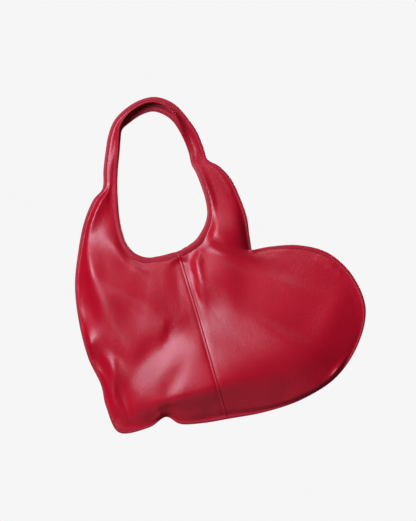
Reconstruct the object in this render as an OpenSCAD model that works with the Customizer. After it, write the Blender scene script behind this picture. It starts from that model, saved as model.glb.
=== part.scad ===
// Heart shaped shoulder purse. Two heart shells of leather are sewn together round a bound rim.
// A round bite out of one lobe is the mouth, and a strap cut in one with the lobe bridges it.
// Origin at the underside of the strap, where a shoulder carries it. +Z up, front towards -Y.

/* [Heart] */
// Width of the heart across its rim
heart_w = 378; // [350:1:410]
// Height of the heart from its tip to the higher strap root
heart_h = 355; // [330:1:380]
// Depth of one half shell where it is fullest
half_depth = 31; // [26:1:36]
// Half of the gap between the two lips of the mouth
lip_half = 12; // [10:0.5:15]

/* [Swells of the leather] */
// Height of the highest swell of the front leather
swell_h = 9; // [0:0.5:10]
// Half width of the broadest swell of the front leather
swell_w = 30; // [25:1:35]

/* [Strap] */
// Rise of the strap's crest above the line through its two roots
strap_rise = 101; // [80:1:130]
// Width of each of the two strap layers
strap_w = 19; // [17:0.5:22]
// Thickness of the tape sewn in under the strap's crest
tape_t = 0.9; // [0.5:0.1:1]
// Width of the tape sewn in under the strap's crest
tape_w = 9; // [6:0.5:12]
// Radius of the bend where the strap folds over at its roots
fold_r = 3.1; // [3:0.1:4]

/* [Leather and lining] */
// Thickness of the leather
leather_t = 1.2; // [0.9:0.1:1.3]
// Thickness of the lining and of the facing at the mouth
lining_t = 0.6; // [0.5:0.1:0.6]
// Slack between the leather and the lining
lining_ease = 1.2; // [0.8:0.1:1.6]
// Thickness of the bindings round the rim and the mouth
binding_t = 0.8; // [0.5:0.1:1]
// Width of the binding round the rim
rim_binding_w = 4; // [3:0.5:6]
// Width of the binding round the mouth
mouth_binding_w = 5; // [4:0.5:6]
// Width of the raised welt over the middle seam
welt_w = 3.2; // [2.5:0.1:4]
// Height of the raised welt over the middle seam
welt_h = 1; // [0.6:0.1:1.4]

/* [Snap] */
// Radius of the magnetic snap
snap_r = 7; // [6:0.5:9]
// Thickness of each half of the snap
snap_t = 2.4; // [2:0.1:3]
// Radius of the stud in the middle of the snap
stud_r = 2; // [1.5:0.1:2.5]
// Height of the stud in the middle of the snap
stud_h = 1.2; // [0.8:0.1:1.5]
// Radius of the washer that holds each half behind the facing
washer_r = 5; // [4:0.5:6]
// Thickness of the washer
washer_t = 0.5; // [0.4:0.1:0.6]
// Depth of the snap's centre below the edge of the mouth
snap_drop = 17; // [14:1:24]

/* [Inner pocket] */
// Length of the pocket's zip from stop to stop
zip_l = 120; // [100:1:130]
// Depth of the zip below the lowest point of the mouth
zip_drop = 70; // [66:1:78]
// Height of the window that the zip shows through
zip_window_h = 9.4; // [9:0.2:11]
// Width of each zip tape
zip_tape_w = 11; // [9:0.5:13]
// Thickness of the zip tape
zip_tape_t = 0.5; // [0.4:0.1:0.6]
// Distance from one zip tooth to the next
tooth_pitch = 2.5; // [2:0.1:3]
// Length of a tooth along the zip
tooth_l = 1.3; // [1:0.1:1.5]
// Height of a tooth across the zip
tooth_h = 2; // [1.8:0.1:2.2]
// Thickness of a tooth
tooth_t = 2; // [1.6:0.1:2.2]
// Gap between the two rows of teeth
tooth_gap = 1.2; // [1.1:0.1:1.5]
// Length of the slider
slider_l = 9; // [8:0.5:11]
// Width of the slider across the zip
slider_w = 7.6; // [7.2:0.1:8]
// Thickness of each plate of the slider
slider_plate_t = 0.8; // [0.6:0.1:1]
// Length of the pull
pull_l = 22; // [16:1:30]
// Width of the pull at its free end
pull_w = 6; // [5:0.5:8]
// Thickness of the pull
pull_t = 1; // [0.8:0.1:1.2]
// Radius of the slider's bar that carries the pull
bar_r = 0.6; // [0.5:0.05:0.7]
// Depth of the pocket below its zip
pocket_h = 80; // [60:1:84]
// Width of the leather frame round the zip
frame_w = 5; // [4:0.5:6]

/* [Hidden] */

red_leather = [0.63, 0.0, 0.11];
dark_cloth = [0.28, 0.02, 0.06];
webbing = [0.15, 0.12, 0.12];
nickel = [0.75, 0.74, 0.72];
magnet_grey = [0.2, 0.2, 0.22];

// Clearance between plies that are sewn on each other
ply_gap = 0.05;
// Clearance between a moving piece and its seat
run_gap = 0.3;
// Overrun of a cut past the piece it cuts
overrun = 1;
// Rows made from each stretch between two stations
steps = 2;
// Columns across a shell between its rim and its lip: the facing has the last one
columns = 5;
// Columns of the front leather for each of the others
fine = 2;
// The heart's outline, the line along the fullest part of each half, and the edge of the mouth,
// as shares of heart_w from its left side and of heart_h from its tip. One station per line:
// the left half runs from its strap root round the tip to the foot of the middle seam.
left_edge_shares = [
    [0.095, 0.894], [0.062, 0.850], [0.031, 0.769], [0.012, 0.667], [0, 0.538],
    [0.014, 0.403], [0.045, 0.275], [0.089, 0.176], [0.107, 0.095], [0.152, 0],
    [0.254, 0.018], [0.313, 0.057], [0.364, 0.031], [0.443, 0.035], [0.522, 0.049]
];
left_middle_shares = [
    [0.120, 0.901], [0.103, 0.850], [0.089, 0.777], [0.086, 0.696], [0.089, 0.608],
    [0.110, 0.509], [0.141, 0.436], [0.175, 0.374], [0.203, 0.330], [0.230, 0.293],
    [0.285, 0.282], [0.326, 0.293], [0.364, 0.315], [0.402, 0.344], [0.440, 0.363]
];
left_mouth_shares = [
    [0.146, 0.908], [0.148, 0.850], [0.153, 0.784], [0.163, 0.733], [0.177, 0.692],
    [0.201, 0.661], [0.225, 0.647], [0.244, 0.642], [0.261, 0.641], [0.278, 0.644],
    [0.299, 0.648], [0.320, 0.654], [0.337, 0.659], [0.347, 0.661], [0.354, 0.664]
];
// The right half runs from its strap root round the cleft and the whole lobe to the same foot.
right_edge_shares = [
    [0.457, 1], [0.498, 0.974], [0.538, 0.927], [0.567, 0.863], [0.591, 0.791],
    [0.600, 0.725], [0.608, 0.668], [0.677, 0.682], [0.773, 0.686], [0.873, 0.657],
    [0.955, 0.575], [1, 0.454], [0.973, 0.321], [0.897, 0.201], [0.780, 0.121],
    [0.653, 0.075], [0.522, 0.049]
];
right_middle_shares = [
    [0.430, 0.992], [0.457, 0.963], [0.486, 0.916], [0.509, 0.857], [0.524, 0.797],
    [0.531, 0.740], [0.536, 0.685], [0.577, 0.623], [0.622, 0.560], [0.660, 0.498],
    [0.684, 0.436], [0.684, 0.377], [0.663, 0.333], [0.625, 0.304], [0.577, 0.300],
    [0.519, 0.322], [0.440, 0.363]
];
right_mouth_shares = [
    [0.400, 0.984], [0.416, 0.952], [0.433, 0.907], [0.448, 0.857], [0.455, 0.806],
    [0.448, 0.766], [0.433, 0.733], [0.418, 0.709], [0.405, 0.696], [0.395, 0.689],
    [0.387, 0.682], [0.378, 0.678], [0.372, 0.674], [0.368, 0.671], [0.364, 0.668],
    [0.361, 0.667], [0.354, 0.664]
];
// Swells of the front leather: the middle as shares of heart_w and heart_h, the direction in
// degrees, half the length and half the width as shares of swell_w, and the height as a share of
// swell_h, below zero for a hollow.
front_swell_shares = [
    [[0.379, 0.302], 41, 1.00, 0.60, 0.46],
    [[0.306, 0.163], 40, 1.20, 1.00, 0.87],
    [[0.403, 0.222], 63, 1.23, 0.30, 0.67],
    [[0.128, 0.449], -68, 2.10, 0.43, 1.00],
    [[0.269, 0.416], -21, 1.47, 0.47, 0.39],
    [[0.107, 0.207], -52, 0.93, 0.53, -0.33],
    [[0.351, 0.126], 17, 1.80, 0.40, 0.98],
    [[0.275, 0.522], -37, 1.70, 0.60, -0.21],
    [[0.413, 0.423], -54, 1.00, 0.57, -0.30],
    [[0.482, 0.698], -82, 1.37, 0.33, 1.00],
    [[0.465, 0.588], 81, 1.07, 0.30, 0.61],
    [[0.547, 0.782], -71, 1.23, 0.37, -0.25],
    [[0.612, 0.694], 83, 0.93, 0.63, -0.20],
    [[0.598, 0.575], 88, 0.75, 0.88, -0.40],
    [[0.499, 0.203], -75, 1.33, 1.33, 1.00]
];
// Rise of the shell at each station: on its fullest line as a share of half_depth,
// and at the mouth as a share of lip_half.
left_rise_shares = [
    [0, 0], [0.08, 0.25], [0.22, 0.5], [0.38, 0.72], [0.52, 0.88],
    [0.66, 0.97], [0.76, 1], [0.82, 1], [0.86, 1], [0.9, 1],
    [0.94, 1], [0.96, 1], [0.98, 1], [1, 1], [1, 1]
];
right_rise_shares = [
    [0, 0], [0.08, 0.25], [0.2, 0.5], [0.32, 0.7], [0.42, 0.84],
    [0.52, 0.93], [0.58, 0.97], [0.68, 1], [0.78, 1], [0.86, 1],
    [0.92, 1], [0.95, 1], [0.98, 1], [1, 1], [1, 1],
    [1, 1], [1, 1]
];
// The strap's crest between its roots: across as a share of heart_w, rise as a share of strap_rise.
crest_shares = [
    [0.098, 0.229], [0.105, 0.456], [0.115, 0.665], [0.134, 0.826], [0.168, 0.933],
    [0.216, 1], [0.265, 1.002], [0.309, 0.93], [0.351, 0.797], [0.388, 0.603],
    [0.419, 0.403], [0.442, 0.173]
];
// Direction from the crest to the strap's inner edge at each of those stations, in degrees.
crest_turns = [4, 0, -22, -46, -64, -78, -90, -101, -112, -131, -143, -160];
// Apparent width of the front layer, which turns out forwards at the top, and of the back layer.
front_layer_shares = [1, 0.9, 0.76, 0.55, 0.38, 0.3, 0.3, 0.39, 0.56, 0.76, 0.98, 1];
back_layer_shares = [1, 0.97, 0.9, 0.82, 0.95, 0.99, 1, 1.03, 1.03, 1, 1.08, 1.08];
// The crest station above the shoulder
shoulder_station = 6;
// Rows made from each stretch between two of the strap's stations
strap_steps = 3;
// First row of the panels' bindings, which stop short of the fold at each strap root
binding_start = 1;
// Half of the leather stack where the two sides lie on each other
ply_half = lining_t + leather_t;
// Rounding of a binding's edge, and where its shoulder lies, as shares of its thickness and height
rim_round = 0.5;
rim_shoulder_share = 0.5;
// Bow of the strap's turned out flap halfway across: inwards, and outwards
flap_bow_shares = [0.45, 0.55];
// Station of the left half under whose point on the mouth the snap lies
snap_station = 9;
// The boss behind each snap half over its stud's radius
boss_share = 0.7;
// Wall of the snap's casing round its magnet
snap_wall = 0.4;
// Centre of the pocket across the heart
pocket_centre_share = 0.34;
// Cloth of the pocket, its depth when empty and the rounding of its lower corners
pocket_cloth_t = 0.4;
pocket_depth = 5;
pocket_corner_share = 0.2;
// How far the tape reaches into a tooth
tape_reach_share = 0.45;
// Slider: width of its rear end, length of its bar and of the posts that carry it
nose_share = 0.82;
bar_share = 0.78;
post_share = 0.13;
// Pull: wall round its bar over its thickness, and the eye at its free end over its width
barrel_wall_share = 0.8;
eye_share = 0.45;
// Facets round circles
$fn = 40;

function heart_point(share) = [share[0] * heart_w, share[1] * heart_h];

// Fold line through the two strap roots
left_root = heart_point(left_edge_shares[0]);
right_root = heart_point(right_edge_shares[0]);
fold_run = right_root - left_root;
fold_dir = fold_run / norm(fold_run);
fold_down = [fold_dir[1], -fold_dir[0]];
fold_angle = atan2(fold_dir[1], fold_dir[0]);
function fold_height(x) = left_root[1] + (x - left_root[0]) * fold_run[1] / fold_run[0];
function crest_point(share) = [
    share[0] * heart_w,
    fold_height(share[0] * heart_w) + share[1] * strap_rise
];

// The origin lies under the crest, at the back layer's inner edge
origin_x = crest_shares[shoulder_station][0] * heart_w;
origin_z = crest_point(crest_shares[shoulder_station])[1] - strap_w;

// Smooth curve through a list of points
function curve_at(p, t) =
    let (i = min(floor(t), len(p) - 2), f = t - i)
    let (a = p[max(i - 1, 0)], b = p[i], c = p[i + 1], d = p[min(i + 2, len(p) - 1)])
    b + f * (c - a) / 2 + f * f * (2 * a - 5 * b + 4 * c - d) / 2
        + f * f * f * (3 * b - a - 3 * c + d) / 2;

// Moves the first point of a list off the fold line, so that the bend's roll fits before it
function off_fold(p, gap, sign) =
    [for (i = [0:len(p) - 1]) i == 0 ? p[0] + sign * gap * fold_down : p[i]];

// Point on a cross line that runs from the rim over the fullest line to the mouth, v from 0 to 1
function across(a, b, c, v) =
    a * (1 - v) * (1 - 2 * v) + b * 4 * v * (1 - v) + c * v * (2 * v - 1);

// One half of a shell, as rows of cross lines. Each row holds its three rail points and two rises.
function half_rows(edge, middle, mouth, rises) =
    let (
        a = off_fold([for (s = edge) heart_point(s)], fold_r, 1),
        b = off_fold([for (s = middle) heart_point(s)], fold_r, 1),
        c = off_fold([for (s = mouth) heart_point(s)], fold_r, 1),
        last = len(edge) - 1
    )
    [for (k = [0:last * steps]) let (t = k / steps) [
        curve_at(a, t), curve_at(b, t), curve_at(c, t),
        max(0, curve_at(rises, t)[0]) * half_depth, max(0, curve_at(rises, t)[1]) * lip_half
    ]];

left_rows = half_rows(left_edge_shares, left_middle_shares, left_mouth_shares, left_rise_shares);
right_rows = half_rows(right_edge_shares, right_middle_shares, right_mouth_shares,
                       right_rise_shares);
// The whole side, from the left root over the seam to the right root
side_rows = concat(left_rows, [for (k = [len(right_rows) - 2:-1:0]) right_rows[k]]);
seam_row = len(left_rows) - 1;

// Length of a row's cross line, rim to mouth
function row_length(r) = norm(r[1] - r[0]) + norm(r[2] - r[1]);
function rim_end(r) = (binding_t + rim_binding_w) / row_length(r);
function lip_start(r) = 1 - (binding_t + mouth_binding_w) / row_length(r);

// Rise of the shell at v on a row: flat under both bindings and crowned between them
function rise(r, v) =
    let (w = (v - rim_end(r)) / (lip_start(r) - rim_end(r)))
    w <= 0 ? 0 : w >= 1 ? r[4] : 4 * w * (1 - w) * r[3] + w * (2 * w - 1) * r[4];

// Height that the swells add at v on a row. They fade out at the rim and above the lining.
function swell_at(p, s) =
    let (d = p - heart_point(s[0]))
    let (run = d * [cos(s[1]), sin(s[1])], off = d * [sin(s[1]), -cos(s[1])])
    s[4] * swell_h * exp(-pow(run / s[2] / swell_w, 2) - pow(off / s[3] / swell_w, 2));
function swell(r, v) =
    let (w = (v - rim_end(r)) / (lip_start(r) - rim_end(r)))
    let (fade = max(0, min(1, w * columns * fine - 1, (1 - w) * columns - 1)))
    let (p = across(r[0], r[1], r[2], v), heights = [for (s = front_swell_shares) swell_at(p, s)])
    fade * (heights * [for (h = heights) 1]);
function front_rise(r, v) = max(0, rise(r, v) + swell(r, v));

// Height of the two lining sides over the middle plane. The front one stays clear of the valleys
// between its columns, and the back one hangs straight down.
function front_lining_y(r, v) =
    let (step = (lip_start(r) - rim_end(r)) / columns / fine)
    let (dip = min(0, swell(r, v - step), swell(r, v), swell(r, v + step)))
    max(0, rise(r, v) + dip - lining_ease);
lining_plane = lip_half - lining_ease;
function back_lining_y(r, v) = min(max(0, rise(r, v) - lining_ease), lining_plane);

// Places a point of the heart's plane, at a height over the middle plane on the front side
function placed(p, y) = [p[0] - origin_x, -y, p[1] - origin_z];
function on_row(r, v, y) = placed(across(r[0], r[1], r[2], v), y);

// Stations across a row: edge, rim, crown columns, lip and edge of the mouth
function across_stations(r, front = false) =
    let (shares = front
        ? concat([for (j = [0:fine * (columns - 1)]) j / fine / columns], [1])
        : [for (j = [0:columns]) j / columns])
    concat(
        [binding_t / row_length(r)],
        [for (w = shares) rim_end(r) + (lip_start(r) - rim_end(r)) * w],
        [1 - binding_t / row_length(r)]
    );
// The lining takes the columns below the facing, and the facing those up to the mouth
function lining_stations(r) = [for (j = [0:columns]) across_stations(r)[j]];
function facing_stations(r) = [for (j = [columns:columns + 2]) across_stations(r)[j]];

// A closed sheet between two grids of points, outer and inner
module sheet(outer, inner) {
    rows = len(outer);
    cols = len(outer[0]);
    points = concat([for (r = outer) each r], [for (r = inner) each r]);
    half = rows * cols;
    function at(i, j) = i * cols + j;
    skins = [for (i = [0:rows - 2]) for (j = [0:cols - 2])
        let (a = at(i, j), b = at(i, j + 1), c = at(i + 1, j), d = at(i + 1, j + 1))
        each [[a, b, d], [a, d, c], [half + a, half + d, half + b], [half + a, half + c, half + d]]];
    sides = [for (i = [0:rows - 2]) for (j = [0, cols - 1])
        let (a = at(i, j), c = at(i + 1, j))
        each j == 0
            ? [[a, c, half + c], [a, half + c, half + a]]
            : [[a, half + c, c], [a, half + a, half + c]]];
    ends = [for (j = [0:cols - 2]) for (i = [0, rows - 1])
        let (a = at(i, j), b = at(i, j + 1))
        each i == 0
            ? [[a, half + b, b], [a, half + a, half + b]]
            : [[a, b, half + b], [a, half + b, half + a]]];
    polyhedron(points, concat(skins, sides, ends));
}

// Points on the shell of one side, at a height over its rise
function shell_grid(rows, height, front) =
    [for (r = rows) [for (v = across_stations(r, front))
        on_row(r, v, (front ? front_rise(r, v) : rise(r, v)) + height)]];

module panel(rows, front) {
    sheet(shell_grid(rows, lining_t + leather_t, front), shell_grid(rows, lining_t, front));
}

function some_rows(first, last) = [for (k = [first:last]) side_rows[k]];
end_row = len(side_rows) - 1;

module front_left_panel() {
    color(red_leather) panel(some_rows(0, seam_row), true);
}

module front_right_panel() {
    color(red_leather) panel(some_rows(seam_row, end_row), true);
}

module back_left_panel() {
    color(red_leather) mirror([0, 1, 0]) panel(some_rows(0, seam_row), false);
}

module back_right_panel() {
    color(red_leather) mirror([0, 1, 0]) panel(some_rows(seam_row, end_row), false);
}

module lining_ply(front, facing) {
    rows = side_rows;
    grid = [for (extra = [lining_t, 0]) [for (r = rows)
        [for (v = facing ? facing_stations(r) : lining_stations(r))
            on_row(r, v, extra + (front ? front_lining_y(r, v) : back_lining_y(r, v)))]]];
    sheet(grid[0], grid[1]);
}

module front_lining() {
    color(dark_cloth) lining_ply(true, false);
}

module back_lining() {
    color(dark_cloth) difference() {
        mirror([0, 1, 0]) lining_ply(false, false);
        zip_plate(lining_plane - overrun, lining_t + 2 * overrun)
            square([window_l, zip_window_h], center = true);
    }
}

module front_facing() {
    color(red_leather) difference() {
        lining_ply(true, true);
        on_front_facing() translate([0, 0, -lining_t - overrun])
            cylinder(r = boss_r + ply_gap, h = lining_t + 2 * overrun);
    }
}

module back_facing() {
    color(red_leather) difference() {
        mirror([0, 1, 0]) lining_ply(false, true);
        on_back_facing() translate([0, 0, -lining_t - overrun])
            cylinder(r = boss_r + ply_gap, h = lining_t + 2 * overrun);
    }
}

// Bindings

// Path of a strip folded round an edge: how far in from the edge, and the height on each side
function fold_path(reach, edge, height, round) = [
    [reach, height], [edge + round, height], [edge, height * rim_shoulder_share],
    [edge, -height * rim_shoulder_share], [edge + round, -height], [reach, -height]
];
binding_reach = binding_t + rim_binding_w - ply_gap;
function binding_outer() =
    fold_path(binding_reach, 0, ply_half + ply_gap + binding_t, rim_round * binding_t);
function binding_inner() =
    fold_path(binding_reach, binding_t - ply_gap, ply_half + ply_gap, 0);

module edge_binding() {
    grid = [for (path = [binding_outer(), binding_inner()])
        [for (k = [binding_start:end_row - binding_start]) let (r = side_rows[k])
            [for (q = path) on_row(r, q[0] / row_length(r), q[1])]]];
    color(red_leather) sheet(grid[1], grid[0]);
}

// The mouth's edge is turned over the leather and ends on the facing
module mouth_binding(front) {
    function facing_y(r) = front ? front_lining_y(r, 1) : back_lining_y(r, 1);
    grid = [for (outer = [true, false])
        [for (k = [binding_start:end_row - binding_start])
            let (r = side_rows[k], top = r[4] + ply_half + ply_gap, low = facing_y(r))
            let (reach = mouth_binding_w + binding_t - ply_gap, lift = outer ? binding_t : 0)
            let (edge = outer ? 0 : binding_t - ply_gap)
            [for (q = [
                [reach, top + lift],
                [edge + (outer ? rim_round * binding_t : 0), top + lift],
                [edge, top],
                [edge, low]
            ]) on_row(r, 1 - q[0] / row_length(r), q[1])]]];
    sheet(grid[0], grid[1]);
}

module front_mouth_binding() {
    color(red_leather) mouth_binding(true);
}

module back_mouth_binding() {
    color(red_leather) mirror([0, 1, 0]) mouth_binding(false);
}

// Raised welt over the middle seam, from the rim binding up to the mouth's binding
module seam_welt(front) {
    rows = [for (k = [-1:1]) side_rows[seam_row + k]];
    grid = shell_grid(rows, ply_half + run_gap / 2, front);
    last = len(grid[0]) - 2;
    low = [for (j = [1:last]) let (m = grid[1][j]) [for (side = [0, 2])
        m + (grid[side][j] - m) * min(1, welt_w / 2 / norm(grid[side][j] - m))]];
    mid = [for (j = [1:last]) grid[1][j]];
    up = [0, -welt_h, 0];
    outer = [for (j = [0:last - 1])
        [low[j][0], mid[j] + (low[j][0] - mid[j]) * rim_round + up,
         mid[j] + (low[j][1] - mid[j]) * rim_round + up, low[j][1]]];
    inner = [for (j = [0:last - 1])
        [low[j][0] + [0, ply_gap, 0], mid[j] + (low[j][0] - mid[j]) * rim_round,
         mid[j] + (low[j][1] - mid[j]) * rim_round, low[j][1] + [0, ply_gap, 0]]];
    sheet(inner, outer);
}

module front_seam_welt() {
    color(red_leather) seam_welt(true);
}

module back_seam_welt() {
    color(red_leather) mirror([0, 1, 0]) seam_welt(false);
}

// Strap

// The strap's rows: crest point, direction to the inner edge, width of each layer over strap_w
root_widths = [
    norm(heart_point(left_mouth_shares[0]) - left_root),
    norm(heart_point(right_mouth_shares[0]) - right_root)
] / strap_w;
crest_line = concat([left_root], [for (s = crest_shares) crest_point(s)], [right_root]);
turn_line = concat([fold_angle], crest_turns, [fold_angle - 180]);
front_line = concat([root_widths[0]], front_layer_shares, [root_widths[1]]);
back_line = concat([root_widths[0]], back_layer_shares, [root_widths[1]]);
strap_stations = len(crest_line) - 1;
strap_rows = [for (k = [0:strap_stations * strap_steps])
    let (t = k / strap_steps, root = k == 0 || k == strap_stations * strap_steps) [
        curve_at(crest_line, t) - (root ? fold_r + run_gap : 0) * fold_down,
        curve_at(turn_line, t),
        curve_at(front_line, t) * strap_w,
        curve_at(back_line, t) * strap_w
    ]];
strap_end = len(strap_rows) - 1;

function on_strap(r, inwards, y) = placed(r[0] + inwards * [cos(r[1]), sin(r[1])], y);

// Section of a strap layer: along the rim, then turned out by what its apparent width leaves
fold_at = binding_t + rim_binding_w + leather_t;
function layer_path(width) =
    let (flap = strap_w - fold_at, seen = width - fold_at)
    let (out = sqrt(max(0, flap * flap - seen * seen))) [
        [binding_t, lining_t], [fold_at, lining_t],
        [fold_at + seen * flap_bow_shares[0], lining_t + out * flap_bow_shares[1]],
        [width, lining_t + out]
    ];
// The same section moved outwards by a thickness, square to the leather
function thickened(path, t) = [for (i = [0:len(path) - 1])
    let (a = path[max(i - 1, 0)], b = path[i], c = path[min(i + 1, len(path) - 1)])
    let (u = i == 0 ? (c - b) / norm(c - b) : (b - a) / norm(b - a))
    let (w = i == len(path) - 1 ? u : (c - b) / norm(c - b))
    let (n = [-u[1] - w[1], u[0] + w[0]], m = n / norm(n))
    b + m * t / (m * [-u[1], u[0]])];

module strap_layer(width_index) {
    paths = [for (r = strap_rows) layer_path(r[width_index])];
    inner = [for (i = [0:strap_end]) [for (q = paths[i]) on_strap(strap_rows[i], q[0], q[1])]];
    outer = [for (i = [0:strap_end])
        [for (q = thickened(paths[i], leather_t)) on_strap(strap_rows[i], q[0], q[1])]];
    sheet(inner, outer);
}

module strap_front_layer() {
    color(red_leather) strap_layer(2);
}

module strap_back_layer() {
    color(red_leather) mirror([0, 1, 0]) {
        flat = [for (r = strap_rows) [binding_t, fold_at, r[3]]];
        grid = [for (y = [lining_t, ply_half])
            [for (i = [0:strap_end]) [for (s = flat[i]) on_strap(strap_rows[i], s, y)]]];
        sheet(grid[0], grid[1]);
    }
}

module strap_edge_binding() {
    grid = [for (path = [binding_outer(), binding_inner()])
        [for (k = [strap_steps:strap_end - strap_steps])
            [for (q = path) on_strap(strap_rows[k], q[0], q[1])]]];
    color(red_leather) sheet(grid[0], grid[1]);
}

module strap_core_tape() {
    grid = [for (y = [tape_t, -tape_t] / 2)
        [for (k = [strap_steps:strap_end - strap_steps])
            [for (s = [binding_t + ply_gap, binding_t + tape_w]) on_strap(strap_rows[k], s, y)]]];
    color(webbing) sheet(grid[1], grid[0]);
}

// The bend of the leather at each strap root, drawn as a roll about the fold line
module root_folds() {
    roots = [[left_root, fold_dir, root_widths[0]], [right_root, -fold_dir, root_widths[1]]];
    color(red_leather) for (r = roots) {
        start = placed(r[0] + r[1] * binding_t, 0);
        translate(start) rotate([0, 90 - atan2(r[1][1], r[1][0]), 0])
            cylinder(r = fold_r - ply_gap, h = r[2] * strap_w - 2 * binding_t);
    }
}

// Magnetic snap

snap_row = snap_station * steps;
snap_line = side_rows[snap_row];
snap_v = 1 - snap_drop / row_length(snap_line);
// Point of the front facing's inner face on a row, on the straight stretch below the lip
function facing_point(k, v) =
    let (r = side_rows[k], s = facing_stations(r), f = (v - s[0]) / (s[1] - s[0]))
    on_row(r, v, (1 - f) * front_lining_y(r, s[0]) + f * front_lining_y(r, s[1]));
snap_point = facing_point(snap_row, snap_v);
snap_up = facing_point(snap_row, facing_stations(snap_line)[1]) - snap_point;
snap_side = facing_point(snap_row + steps, snap_v) - facing_point(snap_row - steps, snap_v);
function unit(v) = v / norm(v);
snap_normal = unit(cross(snap_up, snap_side));
snap_x = unit(cross(snap_up, snap_normal));
snap_y = cross(snap_normal, snap_x);

// Puts its children on a facing with +Z into the purse
module on_front_facing() {
    multmatrix([
        [snap_x[0], snap_y[0], snap_normal[0], snap_point[0]],
        [snap_x[1], snap_y[1], snap_normal[1], snap_point[1]],
        [snap_x[2], snap_y[2], snap_normal[2], snap_point[2]],
        [0, 0, 0, 1]
    ]) children();
}

module on_back_facing() {
    translate([snap_point[0], lining_plane, snap_point[2]]) rotate([90, 0, 0]) children();
}

boss_r = stud_r * boss_share;
boss_h = lining_t + run_gap + washer_t;
magnet_r = snap_r - snap_wall - ply_gap;
magnet_hole_r = stud_r + ply_gap + snap_wall + ply_gap;
magnet_h = snap_t - 2 * snap_wall - 2 * ply_gap;

module snap_socket() {
    color(nickel) on_front_facing() translate([0, 0, run_gap]) difference() {
        union() {
            cylinder(r = snap_r, h = snap_t);
            translate([0, 0, -boss_h - run_gap]) cylinder(r = boss_r, h = boss_h + run_gap);
        }
        translate([0, 0, snap_t - stud_h - run_gap])
            cylinder(r = stud_r + ply_gap, h = stud_h + run_gap + overrun);
        translate([0, 0, snap_wall]) difference() {
            cylinder(r = magnet_r + ply_gap, h = magnet_h + 2 * ply_gap);
            translate([0, 0, -overrun])
                cylinder(r = magnet_hole_r - ply_gap, h = magnet_h + 2 * overrun);
        }
    }
}

module snap_magnet() {
    color(magnet_grey) on_front_facing() translate([0, 0, run_gap + snap_wall + ply_gap])
        difference() {
            cylinder(r = magnet_r, h = magnet_h);
            translate([0, 0, -overrun]) cylinder(r = magnet_hole_r, h = magnet_h + 2 * overrun);
        }
}

module snap_stud() {
    color(nickel) on_back_facing() {
        translate([0, 0, ply_gap]) cylinder(r = snap_r, h = snap_t / 2);
        translate([0, 0, ply_gap]) cylinder(r = stud_r, h = snap_t / 2 + stud_h);
        translate([0, 0, -boss_h]) cylinder(r = boss_r, h = boss_h + 2 * ply_gap);
    }
}

module snap_washer() {
    translate([0, 0, -lining_t - run_gap / 2 - washer_t]) difference() {
        cylinder(r = washer_r, h = washer_t);
        translate([0, 0, -overrun]) cylinder(r = boss_r + ply_gap, h = washer_t + 2 * overrun);
    }
}

module socket_washer() {
    color(nickel) on_front_facing() snap_washer();
}

module stud_washer() {
    color(nickel) on_back_facing() snap_washer();
}

// Inner pocket

mouth_low = min([for (s = left_mouth_shares) heart_point(s)[1]]);
pocket_x = pocket_centre_share * heart_w - origin_x;
zip_z = mouth_low - zip_drop - origin_z;
stop_l = 2 * tooth_l;
window_l = zip_l + 2 * stop_l;
tape_l = window_l + 2 * frame_w;
// Middle plane of the zip, behind the lining
zip_y = lining_plane + lining_t + ply_gap + zip_tape_t / 2;
row_edge = tooth_gap / 2;
row_top = row_edge + tooth_h;
tape_edge = row_edge + tooth_h * tape_reach_share;
tape_top = tape_edge + zip_tape_w;
pocket_front_y = zip_y + zip_tape_t / 2 + ply_gap;

// A flat piece in the pocket's plane, from a depth y backwards
module zip_plate(y, t) {
    translate([pocket_x, y + t, zip_z]) rotate([90, 0, 0]) linear_extrude(t) children();
}

module pocket_frame() {
    color(red_leather) zip_plate(lining_plane - ply_gap - leather_t, leather_t) difference() {
        square([window_l + 2 * frame_w, zip_window_h + 2 * frame_w], center = true);
        square([window_l, zip_window_h], center = true);
    }
}

module zip_tapes() {
    color(webbing) zip_plate(zip_y - zip_tape_t / 2, zip_tape_t) for (side = [1, -1])
        translate([0, side * (tape_edge + tape_top) / 2])
            square([tape_l, zip_tape_w], center = true);
}

// A clip of metal pressed on a tape's edge, seen along the zip, upper row
module clip_profile() {
    slot = zip_tape_t / 2 + ply_gap;
    polygon([
        [-tooth_t / 2, row_edge], [tooth_t / 2, row_edge], [tooth_t / 2, row_top],
        [slot, row_top], [slot, tape_edge - ply_gap], [-slot, tape_edge - ply_gap],
        [-slot, row_top], [-tooth_t / 2, row_top]
    ]);
}

// Clips of one length at a list of places along the zip, on the upper or the lower tape
module clips(places, length, side) {
    for (x = places) translate([pocket_x + x - length / 2, zip_y, zip_z])
        rotate([90, 0, 90]) linear_extrude(length) scale([1, side]) clip_profile();
}

module zip_teeth() {
    count = floor(zip_l / tooth_pitch);
    shift = tooth_pitch / 2;
    first = -(count - 1) * tooth_pitch / 2;
    color(nickel) {
        clips([for (i = [0:count - 1]) first + i * tooth_pitch], tooth_l, 1);
        clips([for (i = [0:count - 2]) first + shift + i * tooth_pitch], tooth_l, -1);
    }
}

module zip_stops() {
    end = zip_l / 2 + stop_l / 2 + ply_gap;
    color(nickel) for (side = [1, -1]) clips([end, -end], stop_l - 2 * ply_gap, side);
}

slider_x = pocket_x + zip_l / 2 - slider_l / 2 - run_gap;
channel_half_t = tooth_t / 2 + run_gap;
channel_half_h = row_top + run_gap;
slider_half_t = channel_half_t + slider_plate_t;
barrel_r = bar_r + ply_gap + pull_t * barrel_wall_share;
bar_out = slider_half_t + barrel_r + run_gap;
bar_l = slider_l * bar_share;
post_l = slider_l * post_share;

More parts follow.
